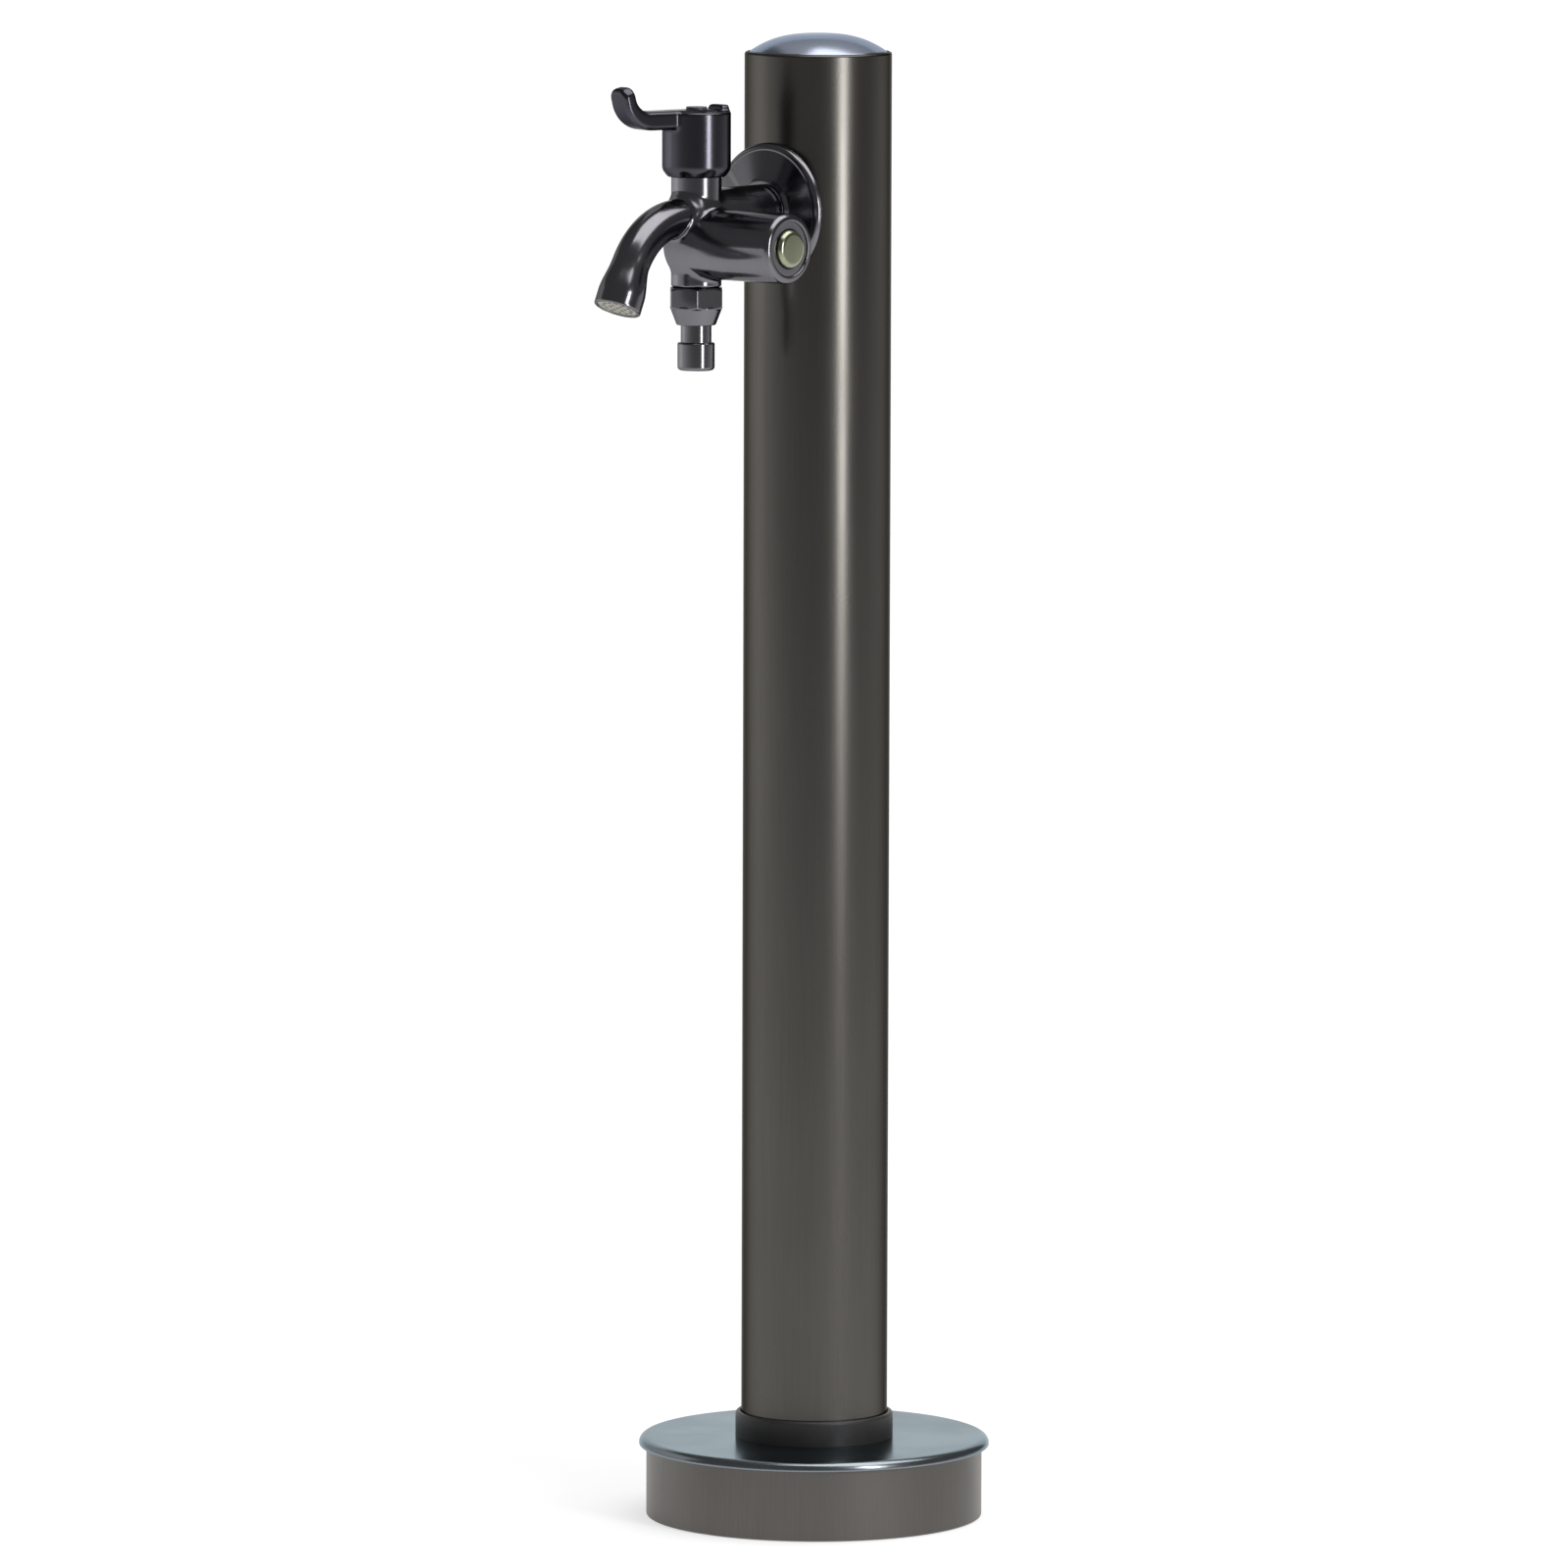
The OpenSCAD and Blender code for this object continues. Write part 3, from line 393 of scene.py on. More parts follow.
def cast(name, field, low, high, step):
    """Mesh of a field's zero surface: one point per crossed cell, evened out and slid onto it."""
    axes = [np.arange(a, b + step, step) for a, b in zip(low, high)]
    inside = field(*np.meshgrid(*axes, indexing="ij")) < 0
    n = inside.shape
    corners = [(i, j, k) for i in (0, 1) for j in (0, 1) for k in (0, 1)]
    filled = sum(
        inside[i:n[0] - 1 + i, j:n[1] - 1 + j, k:n[2] - 1 + k].astype(int) for i, j, k in corners
    )
    crossed = (filled > 0) & (filled < len(corners))
    number = np.full(crossed.shape, -1)
    number[crossed] = np.arange(crossed.sum())
    points = np.argwhere(crossed) * step + np.array([a[0] for a in axes]) + step / 2
    faces = []
    for d in range(3):
        a, b = (d + 1) % 3, (d + 2) % 3
        ahead = np.roll(inside, -1, d)
        for first, flip in ((inside & ~ahead, False), (~inside & ahead, True)):
            p = np.argwhere(first)
            ea, eb = np.eye(3, dtype=int)[a], np.eye(3, dtype=int)[b]
            ring = [number[tuple((p - s).T)] for s in (ea + eb, eb, 0 * ea, ea)]
            faces.append(np.stack(ring[::-1] if flip else ring, 1))
    faces = np.concatenate(faces)
    one, two = faces.ravel(), np.roll(faces, -1, 1).ravel()
    for _ in range(EVEN_ROUNDS):
        total, near = np.zeros_like(points), np.zeros(len(points))
        for here, there in ((one, two), (two, one)):
            np.add.at(total, here, points[there])
            np.add.at(near, here, 1)
        points = points + EVEN_SHARE * (total / near[:, None] - points)
        for _ in range(SLIDE_ROUNDS):
            g = slope(field, points)
            steep = np.maximum((g * g).sum(1), LEAST_SLOPE)
            points = points - (field(*points.T) / steep)[:, None] * g
    mesh = bpy.data.meshes.new(name)
    mesh.from_pydata((points * MM).tolist(), [], faces.tolist())
    mesh.update()
    return add_piece(name, mesh)


def body_field(x, y, z):
    """Tap body: main barrel with its nose, upright neck and leg, and the side barrel."""
    main_radial = np.hypot(x, z - tap_z)
    nose = main_radial - main_r + (main_r - NOSE_R) * np.clip((NOSE_Y + NOSE_CONE - y) / NOSE_CONE, 0, 2)
    main = common(rod(main_radial, -y, -flange_front, -NOSE_Y, main_r, MAIN_EDGE), nose, NOSE_EDGE)
    upright = np.hypot(x, y - valve_y)
    tower = rod(upright, z, LEG_LOW, neck_top, TOWER_R, TOWER_EDGE)
    side_radial = np.hypot(y - valve_y, z - barrel_z)
    side = rod(side_radial, x, -BARREL_BACK, barrel_end, BARREL_R, BARREL_EDGE)
    seat = rod(side_radial, x, gland_back, barrel_end + PAST, gland_r + SEAT_GAP, GLAND_EDGE)
    side = cut(side, seat, SOFT)
    along, off = spout_route(y, z)
    root = common(np.hypot(x, off) - SPOUT_R - SPOUT_ROOT_STEP, side_radial - BARREL_R - SPOUT_ROOT, SOFT)
    root = np.maximum(root, -along - LAP)
    casting = join(join(join(main, tower, TOWER_FILLET), side, BARREL_FILLET), root, BARREL_FILLET)
    male = rod(upright, z, male_low, LEG_LOW + LAP, MALE_R, TOWER_EDGE)
    return np.minimum(casting, male)


def spout_route(y, z):
    """Distance along the spout's centre line and height off it, for points in its plane."""
    ahead, up = NOSE_Y - y, z - (tap_z - SPOUT_BEND)
    angle = np.arctan2(ahead, up)
    far_along = ahead * math.cos(SPOUT_SWEEP) - up * math.sin(SPOUT_SWEEP)
    far_off = ahead * math.sin(SPOUT_SWEEP) + up * math.cos(SPOUT_SWEEP) - SPOUT_BEND
    bend = SPOUT_BEND * SPOUT_SWEEP
    along = np.where(angle > SPOUT_SWEEP, bend + far_along, SPOUT_BEND * angle)
    off = np.where(angle > SPOUT_SWEEP, far_off, np.hypot(ahead, up) - SPOUT_BEND)
    return np.where(angle < 0, ahead, along), np.where(angle < 0, z - tap_z, off)


def spout_field(x, y, z):
    """Curved spout with a flared end, a seat for its insert and a saddle against the side barrel."""
    along, off = spout_route(y, z)
    bend = SPOUT_BEND * SPOUT_SWEEP
    t = np.clip((along - bend) / SPOUT_FLARE + SPOUT_FLARE_LEAD, 0, 1)
    r = SPOUT_R + (OUTLET_R - SPOUT_R) * t * t * (3 - 2 * t)
    radial = np.hypot(x, off)
    tube = common(radial - r, np.maximum(-along, along - bend - SPOUT_END), SPOUT_EDGE)
    seat = np.maximum(radial - INSERT_R, bend + SPOUT_END - INSERT_DEPTH - along)
    saddle = np.hypot(y - valve_y, z - barrel_z) - BARREL_R - SEAT_GAP
    return cut(cut(tube, seat, BREAK), saddle, HAIR)


def lever_frame(x, y):
    """Sideways and forward distances from the valve axis, measured along the closed lever."""
    back = y - valve_y
    c, s = math.cos(LEVER_TURN), math.sin(LEVER_TURN)
    return x * c + back * s, x * s - back * c


def lever_field(side, ahead, z):
    """Lever arm that leaves the cup, curls up and thins towards its round tip."""
    up = z - (CUP_TOP + LEVER_LIFT - LEVER_T / 2)
    out, rise = ahead - LEVER_REACH, up - LEVER_BEND
    angle = np.arctan2(out, -rise)
    tip_along = out * math.cos(LEVER_CURL) + rise * math.sin(LEVER_CURL)
    tip_off = LEVER_BEND - (out * math.sin(LEVER_CURL) - rise * math.cos(LEVER_CURL))
    curl = LEVER_BEND * LEVER_CURL
    along = np.where(angle < 0, out, np.where(angle > LEVER_CURL, curl + tip_along, LEVER_BEND * angle))
    off = np.where(angle < 0, up, np.where(angle > LEVER_CURL, tip_off, LEVER_BEND - np.hypot(out, rise)))
    t = np.clip(along / curl, 0, 1)
    thick = (LEVER_T + (LEVER_TIP_T - LEVER_T) * t) / 2
    past = np.maximum(along - (curl + LEVER_TIP - LEVER_TIP_ROUND), 0)
    beside = np.maximum(np.abs(side) - LEVER_W / 2 + LEVER_TIP_ROUND, 0)
    paddle = common(np.hypot(past, beside) - LEVER_TIP_ROUND, np.abs(off) - thick, LEVER_EDGE)
    return common(paddle, -ahead - LEVER_PAD, LEVER_PAD_EDGE)


def handle_field(x, y, z):
    """Handle: a cup over the valve with a lever across its top and a low lip at the back."""
    radial = np.hypot(x, y - valve_y)
    side, ahead = lever_frame(x, y)
    cup = rod(radial, z, cup_low, CUP_TOP, CUP_R, CUP_EDGE)
    shrink = CUP_R - CUP_MOUTH - CUP_RIM
    taper = (radial - CUP_R) * CUP_CHAMFER - (z - cup_low - CUP_CHAMFER) * shrink
    cup = common(cup, taper / math.hypot(CUP_CHAMFER, shrink), CUP_CHAMFER_EDGE)
    hollow = rod(radial, z, cup_low - PAST, cup_low + CUP_HOLLOW, CUP_MOUTH, CUP_HOLLOW_EDGE)
    cup = cut(cup, hollow, SOFT)
    inner = CUP_R - REAR_LIP_INSET - REAR_LIP_T
    lip = np.maximum(inner + ahead, CUP_TOP - REAR_LIP_SUNK - z)
    lip = common(np.abs(side) - REAR_LIP_W / 2, lip, REAR_LIP_EDGE)
    lip = common(lip, z - CUP_TOP - REAR_LIP, REAR_LIP_CROWN)
    lip = common(lip, radial - CUP_R + REAR_LIP_BACK, REAR_LIP_EDGE)
    whole = join(join(cup, lever_field(side, ahead, z), LEVER_FILLET), lip, REAR_LIP_FILLET)
    return np.maximum(whole, -np.maximum(radial - index_r - SEAT_GAP, index_low - z))


def plate_field(x, y, z):
    """Anchor plate with its spigot, the supply hole and four anchor holes."""
    radial = np.hypot(x, y)
    spigot_r = column_r - COLUMN_WALL - SPIGOT_GAP
    whole = np.minimum(
        rod(radial, z, 0, PLATE_T, plate_r, PLATE_EDGE),
        rod(radial, z, SPIGOT_ROOT, spigot_top, spigot_r, SPIGOT_EDGE),
    )
    whole = cut(whole, np.maximum(radial - spigot_r + SPIGOT_WALL, PLATE_T - z), SOFT)
    whole = cut(whole, radial - SOCKET_HOLE, SOFT)
    return cut(whole, np.hypot(np.abs(x) - ANCHOR_AT, np.abs(y) - ANCHOR_AT) - ANCHOR_R, ANCHOR_EDGE)


def foot_screw_field(x, y, z):
    """Three button screws through the column's foot, each with a hex socket."""
    whole = np.full(np.shape(x), FAR)
    seat = column_r + FOOT_HEAD_GAP
    shank_end = column_r - COLUMN_WALL - SPIGOT_GAP - SPIGOT_WALL
    for i in range(FOOT_SCREWS):
        a = math.radians(FOOT_SCREW_TURN + 360 / FOOT_SCREWS * i)
        along = x * math.cos(a) + y * math.sin(a)
        beside = y * math.cos(a) - x * math.sin(a)
        above = z - FOOT_SCREW_Z
        radial = np.hypot(beside, above)
        screw = np.minimum(
            rod(radial, along, shank_end, seat + LAP, FOOT_SCREW_R, HAIR),
            rod(radial, along, seat, seat + FOOT_HEAD_T, FOOT_HEAD_R, FOOT_HEAD_EDGE),
        )
        slant = np.abs(beside) * math.cos(math.pi / 6) + np.abs(above) / 2
        key = np.maximum(np.abs(above), slant) - FOOT_KEY
        screw = cut(screw, np.maximum(key, seat + FOOT_HEAD_T / 2 - along), HAIR)
        whole = np.minimum(whole, screw)
    return whole


def nut_field(x, y, z):
    """Union nut: a chamfered hexagon above a tapered skirt."""
    radial = np.hypot(x, y - valve_y)
    flat = np.full_like(radial, -FAR)
    for i in range(3):
        a = NUT_TURN + math.pi / 6 + i * math.pi / 3
        across = np.abs(x * math.cos(a) + (y - valve_y) * math.sin(a))
        flat = common(flat, across - NUT_HALF, NUT_FLAT_EDGE)
    hexagon = common(flat, np.maximum(z - nut_top, NUT_HEX_LOW - z), BREAK)
    for rise in (z - nut_top, NUT_HEX_LOW - z):
        chamfer = (radial - NUT_HALF - NUT_CHAMFER_START) * NUT_CHAMFER_ACROSS + rise * NUT_CHAMFER_UP
        hexagon = common(hexagon, chamfer, BREAK)
    grow = (NUT_HALF - NUT_END_R) / (NUT_HEX_LOW - nut_low)
    skirt = (radial - NUT_END_R - (z - nut_low) * grow) / math.hypot(1, grow)
    skirt = common(skirt, np.maximum(nut_low - z, z - NUT_HEX_LOW - LAP), SOFT)
    bore = np.maximum(radial - NIPPLE_NECK_R - NUT_BORE_GAP, z - NUT_HEX_LOW)
    return cut(np.minimum(hexagon, skirt), bore, HAIR)


# Materials: used part of each noise, where an edge begins and ends, colour sockets of a Mix node,
# and grains, which are drawn out along the axis with the small number
NOISE_SPAN = (0.3, 0.7)
PATCH_SPAN = (0.35, 0.7)
SMEAR_SPAN = (0.3, 0.75)
EDGE_SPAN = (0.53, 0.62)
BRUSHED_EDGE_SPAN = (0.53, 0.6)
MIX_FIRST, MIX_SECOND, MIX_RESULT = 6, 7, 2
EVEN = (1, 1, 1)
UPRIGHT = (1, 1, 0.015)
DRUM_GRAIN = (1, 1, 0.03)
MILL_GRAIN = (0.05, 1, 1)


def set_range(node, from_low, from_high, to_low, to_high):
    """Fills in the numbers of a Map Range node."""
    node.inputs["From Min"].default_value = from_low
    node.inputs["From Max"].default_value = from_high
    node.inputs["To Min"].default_value = to_low
    node.inputs["To Max"].default_value = to_high


class Finish:
    """A principled material and the few node links that its surface detail needs."""

    def __init__(self, name, color, roughness, metallic=1.0, edge=WHITE):
        self.material = bpy.data.materials.new(name)
        self.material.use_nodes = True
        self.nodes = self.material.node_tree.nodes
        self.links = self.material.node_tree.links
        self.shader = self.nodes["Principled BSDF"]
        self.shader.inputs["Base Color"].default_value = (*color, 1)
        self.shader.inputs["Roughness"].default_value = roughness
        self.shader.inputs["Metallic"].default_value = metallic
        self.shader.inputs["Specular Tint"].default_value = (*edge, 1)
        self.place = self.nodes.new("ShaderNodeTexCoord").outputs["Object"]

    def noise(self, scale, stretch, detail):
        """Noise with so many spots per metre, drawn out where stretch is small."""
        mapping = self.nodes.new("ShaderNodeMapping")
        mapping.inputs["Scale"].default_value = stretch
        self.links.new(self.place, mapping.inputs["Vector"])
        noise = self.nodes.new("ShaderNodeTexNoise")
        noise.inputs["Scale"].default_value = scale
        noise.inputs["Detail"].default_value = detail
        self.links.new(mapping.outputs["Vector"], noise.inputs["Vector"])
        return noise.outputs["Fac"]

    def rings(self, scale):
        """Noise that changes only with the distance from the column's axis."""
        flat = self.nodes.new("ShaderNodeVectorMath")
        flat.operation = "MULTIPLY"
        flat.inputs[1].default_value = (1, 1, 0)
        self.links.new(self.place, flat.inputs[0])
        radius = self.nodes.new("ShaderNodeVectorMath")
        radius.operation = "LENGTH"
        self.links.new(flat.outputs["Vector"], radius.inputs[0])
        noise = self.nodes.new("ShaderNodeTexNoise")
        noise.noise_dimensions = "1D"
        noise.inputs["Scale"].default_value = scale
        self.links.new(radius.outputs["Value"], noise.inputs["W"])
        return noise.outputs["Fac"]

    def edges(self, span):
        """From 0 on flat and hollow parts to 1 on outside edges."""
        return self.level(self.nodes.new("ShaderNodeNewGeometry").outputs["Pointiness"], *span, 0, 1)

    def level(self, value, from_low, from_high, to_low, to_high):
        """A value stretched from one range to another."""
        node = self.nodes.new("ShaderNodeMapRange")
        set_range(node, from_low, from_high, to_low, to_high)
        self.links.new(value, node.inputs["Value"])
        return node.outputs["Result"]

    def mix(self, value, first, second):
        """Colour between two colours, each a colour or another node's output."""
        node = self.nodes.new("ShaderNodeMix")
        node.data_type = "RGBA"
        self.links.new(value, node.inputs["Factor"])
        for socket, color in ((node.inputs[MIX_FIRST], first), (node.inputs[MIX_SECOND], second)):
            if isinstance(color, tuple):
                socket.default_value = (*color, 1)
            else:
                self.links.new(color, socket)
        return node.outputs[MIX_RESULT]

    def color(self, value):
        self.links.new(value, self.shader.inputs["Base Color"])

    def roughness(self, value):
        self.links.new(value, self.shader.inputs["Roughness"])

    def bump(self, value, depth_mm, strength):
        """Relief of that depth, on top of any relief added before."""
        node = self.nodes.new("ShaderNodeBump")
        node.inputs["Strength"].default_value = strength
        node.inputs["Distance"].default_value = depth_mm * MM
        self.links.new(value, node.inputs["Height"])
        normal = self.shader.inputs["Normal"]
        if normal.is_linked:
            self.links.new(normal.links[0].from_socket, node.inputs["Normal"])
        self.links.new(node.outputs["Normal"], normal)


def scaled(color, factor):
    return tuple(c * factor for c in color)


def grey(level):
    return (level, level, level)


def brushed(name, color, roughness, stretch, worn=1.6, edge=WHITE):
    """Brushed metal: drawn-out grain in colour and relief, soft cloudiness and rubbed edges."""
    f = Finish(name, color, roughness, edge=edge)
    grain = f.noise(scale=1400, stretch=stretch, detail=3)
    cloud = f.noise(scale=22, stretch=(1, 1, 0.35), detail=3)
    toned = f.mix(f.level(grain, *NOISE_SPAN, 0, 1), scaled(color, 0.95), scaled(color, 1.05))
    toned = f.mix(f.level(cloud, *PATCH_SPAN, 0, 0.4), toned, scaled(color, 0.9))
    f.color(f.mix(f.edges(BRUSHED_EDGE_SPAN), toned, scaled(color, worn)))
    f.roughness(f.level(cloud, *NOISE_SPAN, roughness - 0.03, roughness + 0.05))
    f.bump(grain, depth_mm=0.003, strength=0.2)
    return f.material


def polished(name, color, roughness, worn=1.35, edge=WHITE):
    """Polished plate: faint smears in the gloss, hairline scratches and brighter edges."""
    f = Finish(name, color, roughness, edge=edge)
    smear = f.noise(scale=60, stretch=(1, 1, 0.6), detail=5)
    scratch = f.noise(scale=900, stretch=(1, 0.12, 0.5), detail=2)
    toned = f.mix(f.level(smear, *PATCH_SPAN, 0, 1), scaled(color, 1.05), scaled(color, 0.92))
    f.color(f.mix(f.edges(EDGE_SPAN), toned, scaled(color, worn)))
    f.roughness(f.level(smear, *SMEAR_SPAN, roughness - 0.02, roughness + 0.05))
    f.bump(scratch, depth_mm=0.0015, strength=0.25)
    return f.material


def turned(name, color, roughness, edge):
    """Sheet polished in rings round the column, with its edges darkened as painted shade."""
    f = Finish(name, color, roughness, edge=edge)
    lines = f.rings(scale=2600)
    smear = f.noise(scale=26, stretch=EVEN, detail=4)
    toned = f.mix(f.level(lines, *NOISE_SPAN, 0, 1), scaled(color, 0.92), scaled(color, 1.08))
    # Edges at nine tenths of the colour: painted shade, standing in for the dark line along the lid's
    # lip.
    f.color(f.mix(f.edges(EDGE_SPAN), toned, scaled(color, 0.9)))
    f.roughness(f.level(smear, *NOISE_SPAN, roughness - 0.03, roughness + 0.06))
    f.bump(lines, depth_mm=0.003, strength=0.25)
    return f.material


def moulded(name, color, roughness, grain_mm=0.02):
    """Moulded rubber or plastic with a fine matt grain."""
    f = Finish(name, color, roughness, metallic=0.0)
    grain = f.noise(scale=1800, stretch=EVEN, detail=4)
    blotch = f.noise(scale=70, stretch=EVEN, detail=3)
    f.color(f.mix(f.level(blotch, *PATCH_SPAN, 0, 1), scaled(color, 1.08), scaled(color, 0.86)))
    f.roughness(f.level(grain, *NOISE_SPAN, roughness - 0.06, min(1.0, roughness + 0.06)))
    f.bump(grain, depth_mm=grain_mm, strength=0.4)
    return f.material


column_steel = brushed("dark brushed steel", (0.105, 0.1, 0.092), 0.26, UPRIGHT, edge=grey(0.3))
drum_steel = brushed("satin steel", (0.145, 0.137, 0.128), 0.4, DRUM_GRAIN)
cap_steel = turned("polished blue steel cap", (0.31, 0.335, 0.4), 0.2, edge=(0.55, 0.62, 0.72))
lid_steel = turned("polished blue steel lid", (0.22, 0.245, 0.265), 0.21, edge=(0.67, 0.76, 0.8))
tap_chrome = polished("dark chrome", (0.18, 0.176, 0.19), 0.16, worn=1.3, edge=grey(0.45))
handle_metal = polished("satin gun metal", (0.077, 0.074, 0.088), 0.2, worn=1.1, edge=grey(0.36))
# The knob's olive tint is partly bright nickel and partly a painted reflection of green surroundings.
knob_chrome = polished("nickel with painted green reflection", (0.32, 0.34, 0.235), 0.2)
plate_steel = brushed("mill steel", (0.42, 0.42, 0.43), 0.45, MILL_GRAIN)
screw_steel = polished("plain screw steel", (0.5, 0.5, 0.51), 0.3)
brass = polished("machined brass", (0.62, 0.44, 0.17), 0.28)
black_rubber = moulded("black rubber", (0.028, 0.027, 0.026), 0.45)
white_plastic = moulded("cream plastic", (0.78, 0.76, 0.66), 0.45)
grey_plastic = moulded("grey plastic", (0.07, 0.066, 0.078), 0.4)
ceramic = moulded("lapped ceramic", (0.85, 0.85, 0.82), 0.2, grain_mm=0.002)
slot_materials = {
    "column_steel": column_steel,
    "cap_steel": cap_steel,
    "drum_steel": drum_steel,
    "lid_steel": lid_steel,
    "plate_steel": plate_steel,
    "screw_steel": screw_steel,
    "tap_chrome": tap_chrome,
    "handle_metal": handle_metal,
    "knob_chrome": knob_chrome,
    "brass": brass,
    "black_rubber": black_rubber,
    "white_plastic": white_plastic,
    "grey_plastic": grey_plastic,
    "ceramic": ceramic,
}
for node, slot in slot_of_node.items():
    finish_node(node, slot_materials[slot])
# The gland's end shows in the side barrel, so it is plated like the tap; its dark plating also serves as
# painted shade for the gap round the knob.
finish_node("selector_gland", tap_chrome)


# Column and base. The box of each cast shape leaves a few millimetres round it.
def make_column():
    """Column tube with a rounded rim."""
    inside = column_r - COLUMN_WALL
    shell = lathe("column_shell", rounded([
        (inside, column_low, HAIR), (column_r, column_low, BREAK),
        (column_r, column_top, RIM_ROUND), (inside, column_top, COLUMN_TOP_ROUND),
    ]))
    dress(shell, "column_tube", column_steel)


def make_foot():
    """Anchor plate and foot screws, which show when the cover is lifted."""
    low = (-plate_r - 2, -plate_r - 2, -2)
    high = (plate_r + 2, plate_r + 2, spigot_top + 2)
    dress(cast("plate_casting", plate_field, low, high, PLATE_CELL), "base_plate", plate_steel)
    reach = column_r + FOOT_HEAD_T + 2
    low = (-reach, -reach, FOOT_SCREW_Z - FOOT_HEAD_R - 1)
    high = (reach, reach, FOOT_SCREW_Z + FOOT_HEAD_R + 1)
    dress(cast("foot_screw_set", foot_screw_field, low, high, SCREW_CELL), "foot_screws", screw_steel)


def make_cap():
    """Domed cap, set in from the column's rim by a dark seam."""
    plug = column_r - COLUMN_WALL - SEAT_GAP
    edge = plug - CAP_SEAM
    rise = crown - column_top
    dome = []
    for i in range(DOME_STEPS + 1):
        t = 1 - (1 - i / DOME_STEPS) ** DOME_CROWDING
        dome.append((edge * (1 - t) ** (1 / CAP_FULLNESS), column_top + rise * t))
    outline = [
        (0, column_top - CAP_PLUG), (plug, column_top - CAP_PLUG), (plug, column_top - CAP_SEAM_DEPTH),
        (edge - CAP_SEAM_IN, column_top - CAP_SEAM_DEPTH),
        (edge - CAP_TURN_IN, column_top - CAP_TURN_DOWN), *dome,
    ]
    dress(lathe("cap_dome", outline), "column_cap", cap_steel)


def make_base_cover():
    """Drum, lid with a rounded lip and rib, and the rubber collar in the lid's hole."""
    inside = drum_r - DRUM_WALL
    drum = lathe("drum_shell", rounded([
        (inside, drum_low, SOFT), (drum_r, drum_low, DRUM_FOOT_ROUND),
        (drum_r, lid_low, BREAK), (inside, lid_low, BREAK),
    ]))
    dress(drum, "base_drum", drum_steel)
    sheet_low = lid_top - LID_SHEET
    lid = lathe("lid_shell", rounded([
        (LID_HOLE, sheet_low, BREAK), (RIB_IN, sheet_low, LID_CORNER),
        (RIB_IN, RIB_LOW, SOFT), (RIB_OUT, RIB_LOW, SOFT), (RIB_OUT, lid_low, 0),
        (lid_r, lid_low, LIP_UNDER_ROUND), (lid_r, lid_top, LIP_ROUND), (LID_HOLE, lid_top, SOFT),
    ]))
    dress(lid, "base_lid", lid_steel)
    collar = lathe("collar_sleeve", rounded([
        (COLLAR_IN, collar_low, BREAK), (collar_foot_r, collar_low, SOFT), (collar_foot_r, sheet_low, 0),
        (COLLAR_NECK, sheet_low, 0), (COLLAR_NECK, lid_top, 0), (COLLAR_OUT, lid_top, 0),
        (COLLAR_OUT, collar_top, COLLAR_ROUND), (COLLAR_IN, collar_top, BREAK),
    ]))
    dress(collar, "foot_collar", black_rubber)


# Tap
def make_flange():
    """Shallow dish with a rolled rim and a short nose round the barrel."""
    depth = flange_back - flange_front
    dish = lathe("flange_dish", rounded([
        (flange_r - FLANGE_LIP - FLANGE_WALL, 0, BREAK), (flange_r, 0, SOFT),
        (flange_r, FLANGE_LIP, FLANGE_LIP_ROUND),
        (flange_r - FLANGE_LIP, FLANGE_LIP - FLANGE_GROOVE, FLANGE_GROOVE_ROUND),
        (FLANGE_ROOT, FLANGE_DISH, FLANGE_ROOT_ROUND), (FLANGE_NOSE, depth, FLANGE_NOSE_ROUND),
        (FLANGE_BORE, depth, BREAK), (FLANGE_BORE, depth - FLANGE_WALL, HAIR),
        (FLANGE_BORE + FLANGE_STEP, depth - FLANGE_WALL, BREAK),
    ]), along_front(flange_back, tap_z))
    dress(dish, "wall_flange", tap_chrome)


def make_body():
    """Tap body casting."""
    low = (-main_r - 4, NOSE_Y - 6, male_low - 3)
    high = (barrel_end + 3, flange_front + 3, neck_top + 3)
    dress(cast("body_casting", body_field, low, high, CAST_CELL), "tap_body", tap_chrome)


def make_spout():
    """Curved spout, on the body's nose."""
    reach = SPOUT_BEND + SPOUT_END + OUTLET_R
    low = (-OUTLET_R - 2, NOSE_Y - reach, tap_z - reach)
    high = (OUTLET_R + 2, NOSE_Y + 3, tap_z + OUTLET_R + 2)
    dress(cast("spout_pipe", spout_field, low, high, CAST_CELL), "spout", tap_chrome)


def make_handle():
    """Handle casting and the small disc in its top."""
    low = (-CUP_R - 5, valve_y - LEVER_REACH - LEVER_BEND - LEVER_T - 3, cup_low - 3)
    high = (CUP_R + 2, valve_y + CUP_R + 2, high_mm("lever_handle").z + 4)
    dress(cast("handle_casting", handle_field, low, high, CAST_CELL), "lever_handle", handle_metal)
    button = lathe("index_button", rounded([
        (0, index_low, 0), (index_r, index_low, INDEX_FOOT_ROUND),
        (index_r, index_top, INDEX_ROUND), (0, index_top, 0),
    ]), over_valve(), BUTTON_TURNS)
    dress(button, "index_disc", grey_plastic)


def make_knob():
    """Round knob in the end of the side barrel."""
    knob = lathe("knob_button", rounded([
        (0, knob_back, 0), (knob_r, knob_back, BREAK), (knob_r, knob_end, KNOB_ROUND), (0, knob_end, 0),
    ]), along_side(), SMALL_TURNS)
    dress(knob, "selector_knob", knob_chrome)


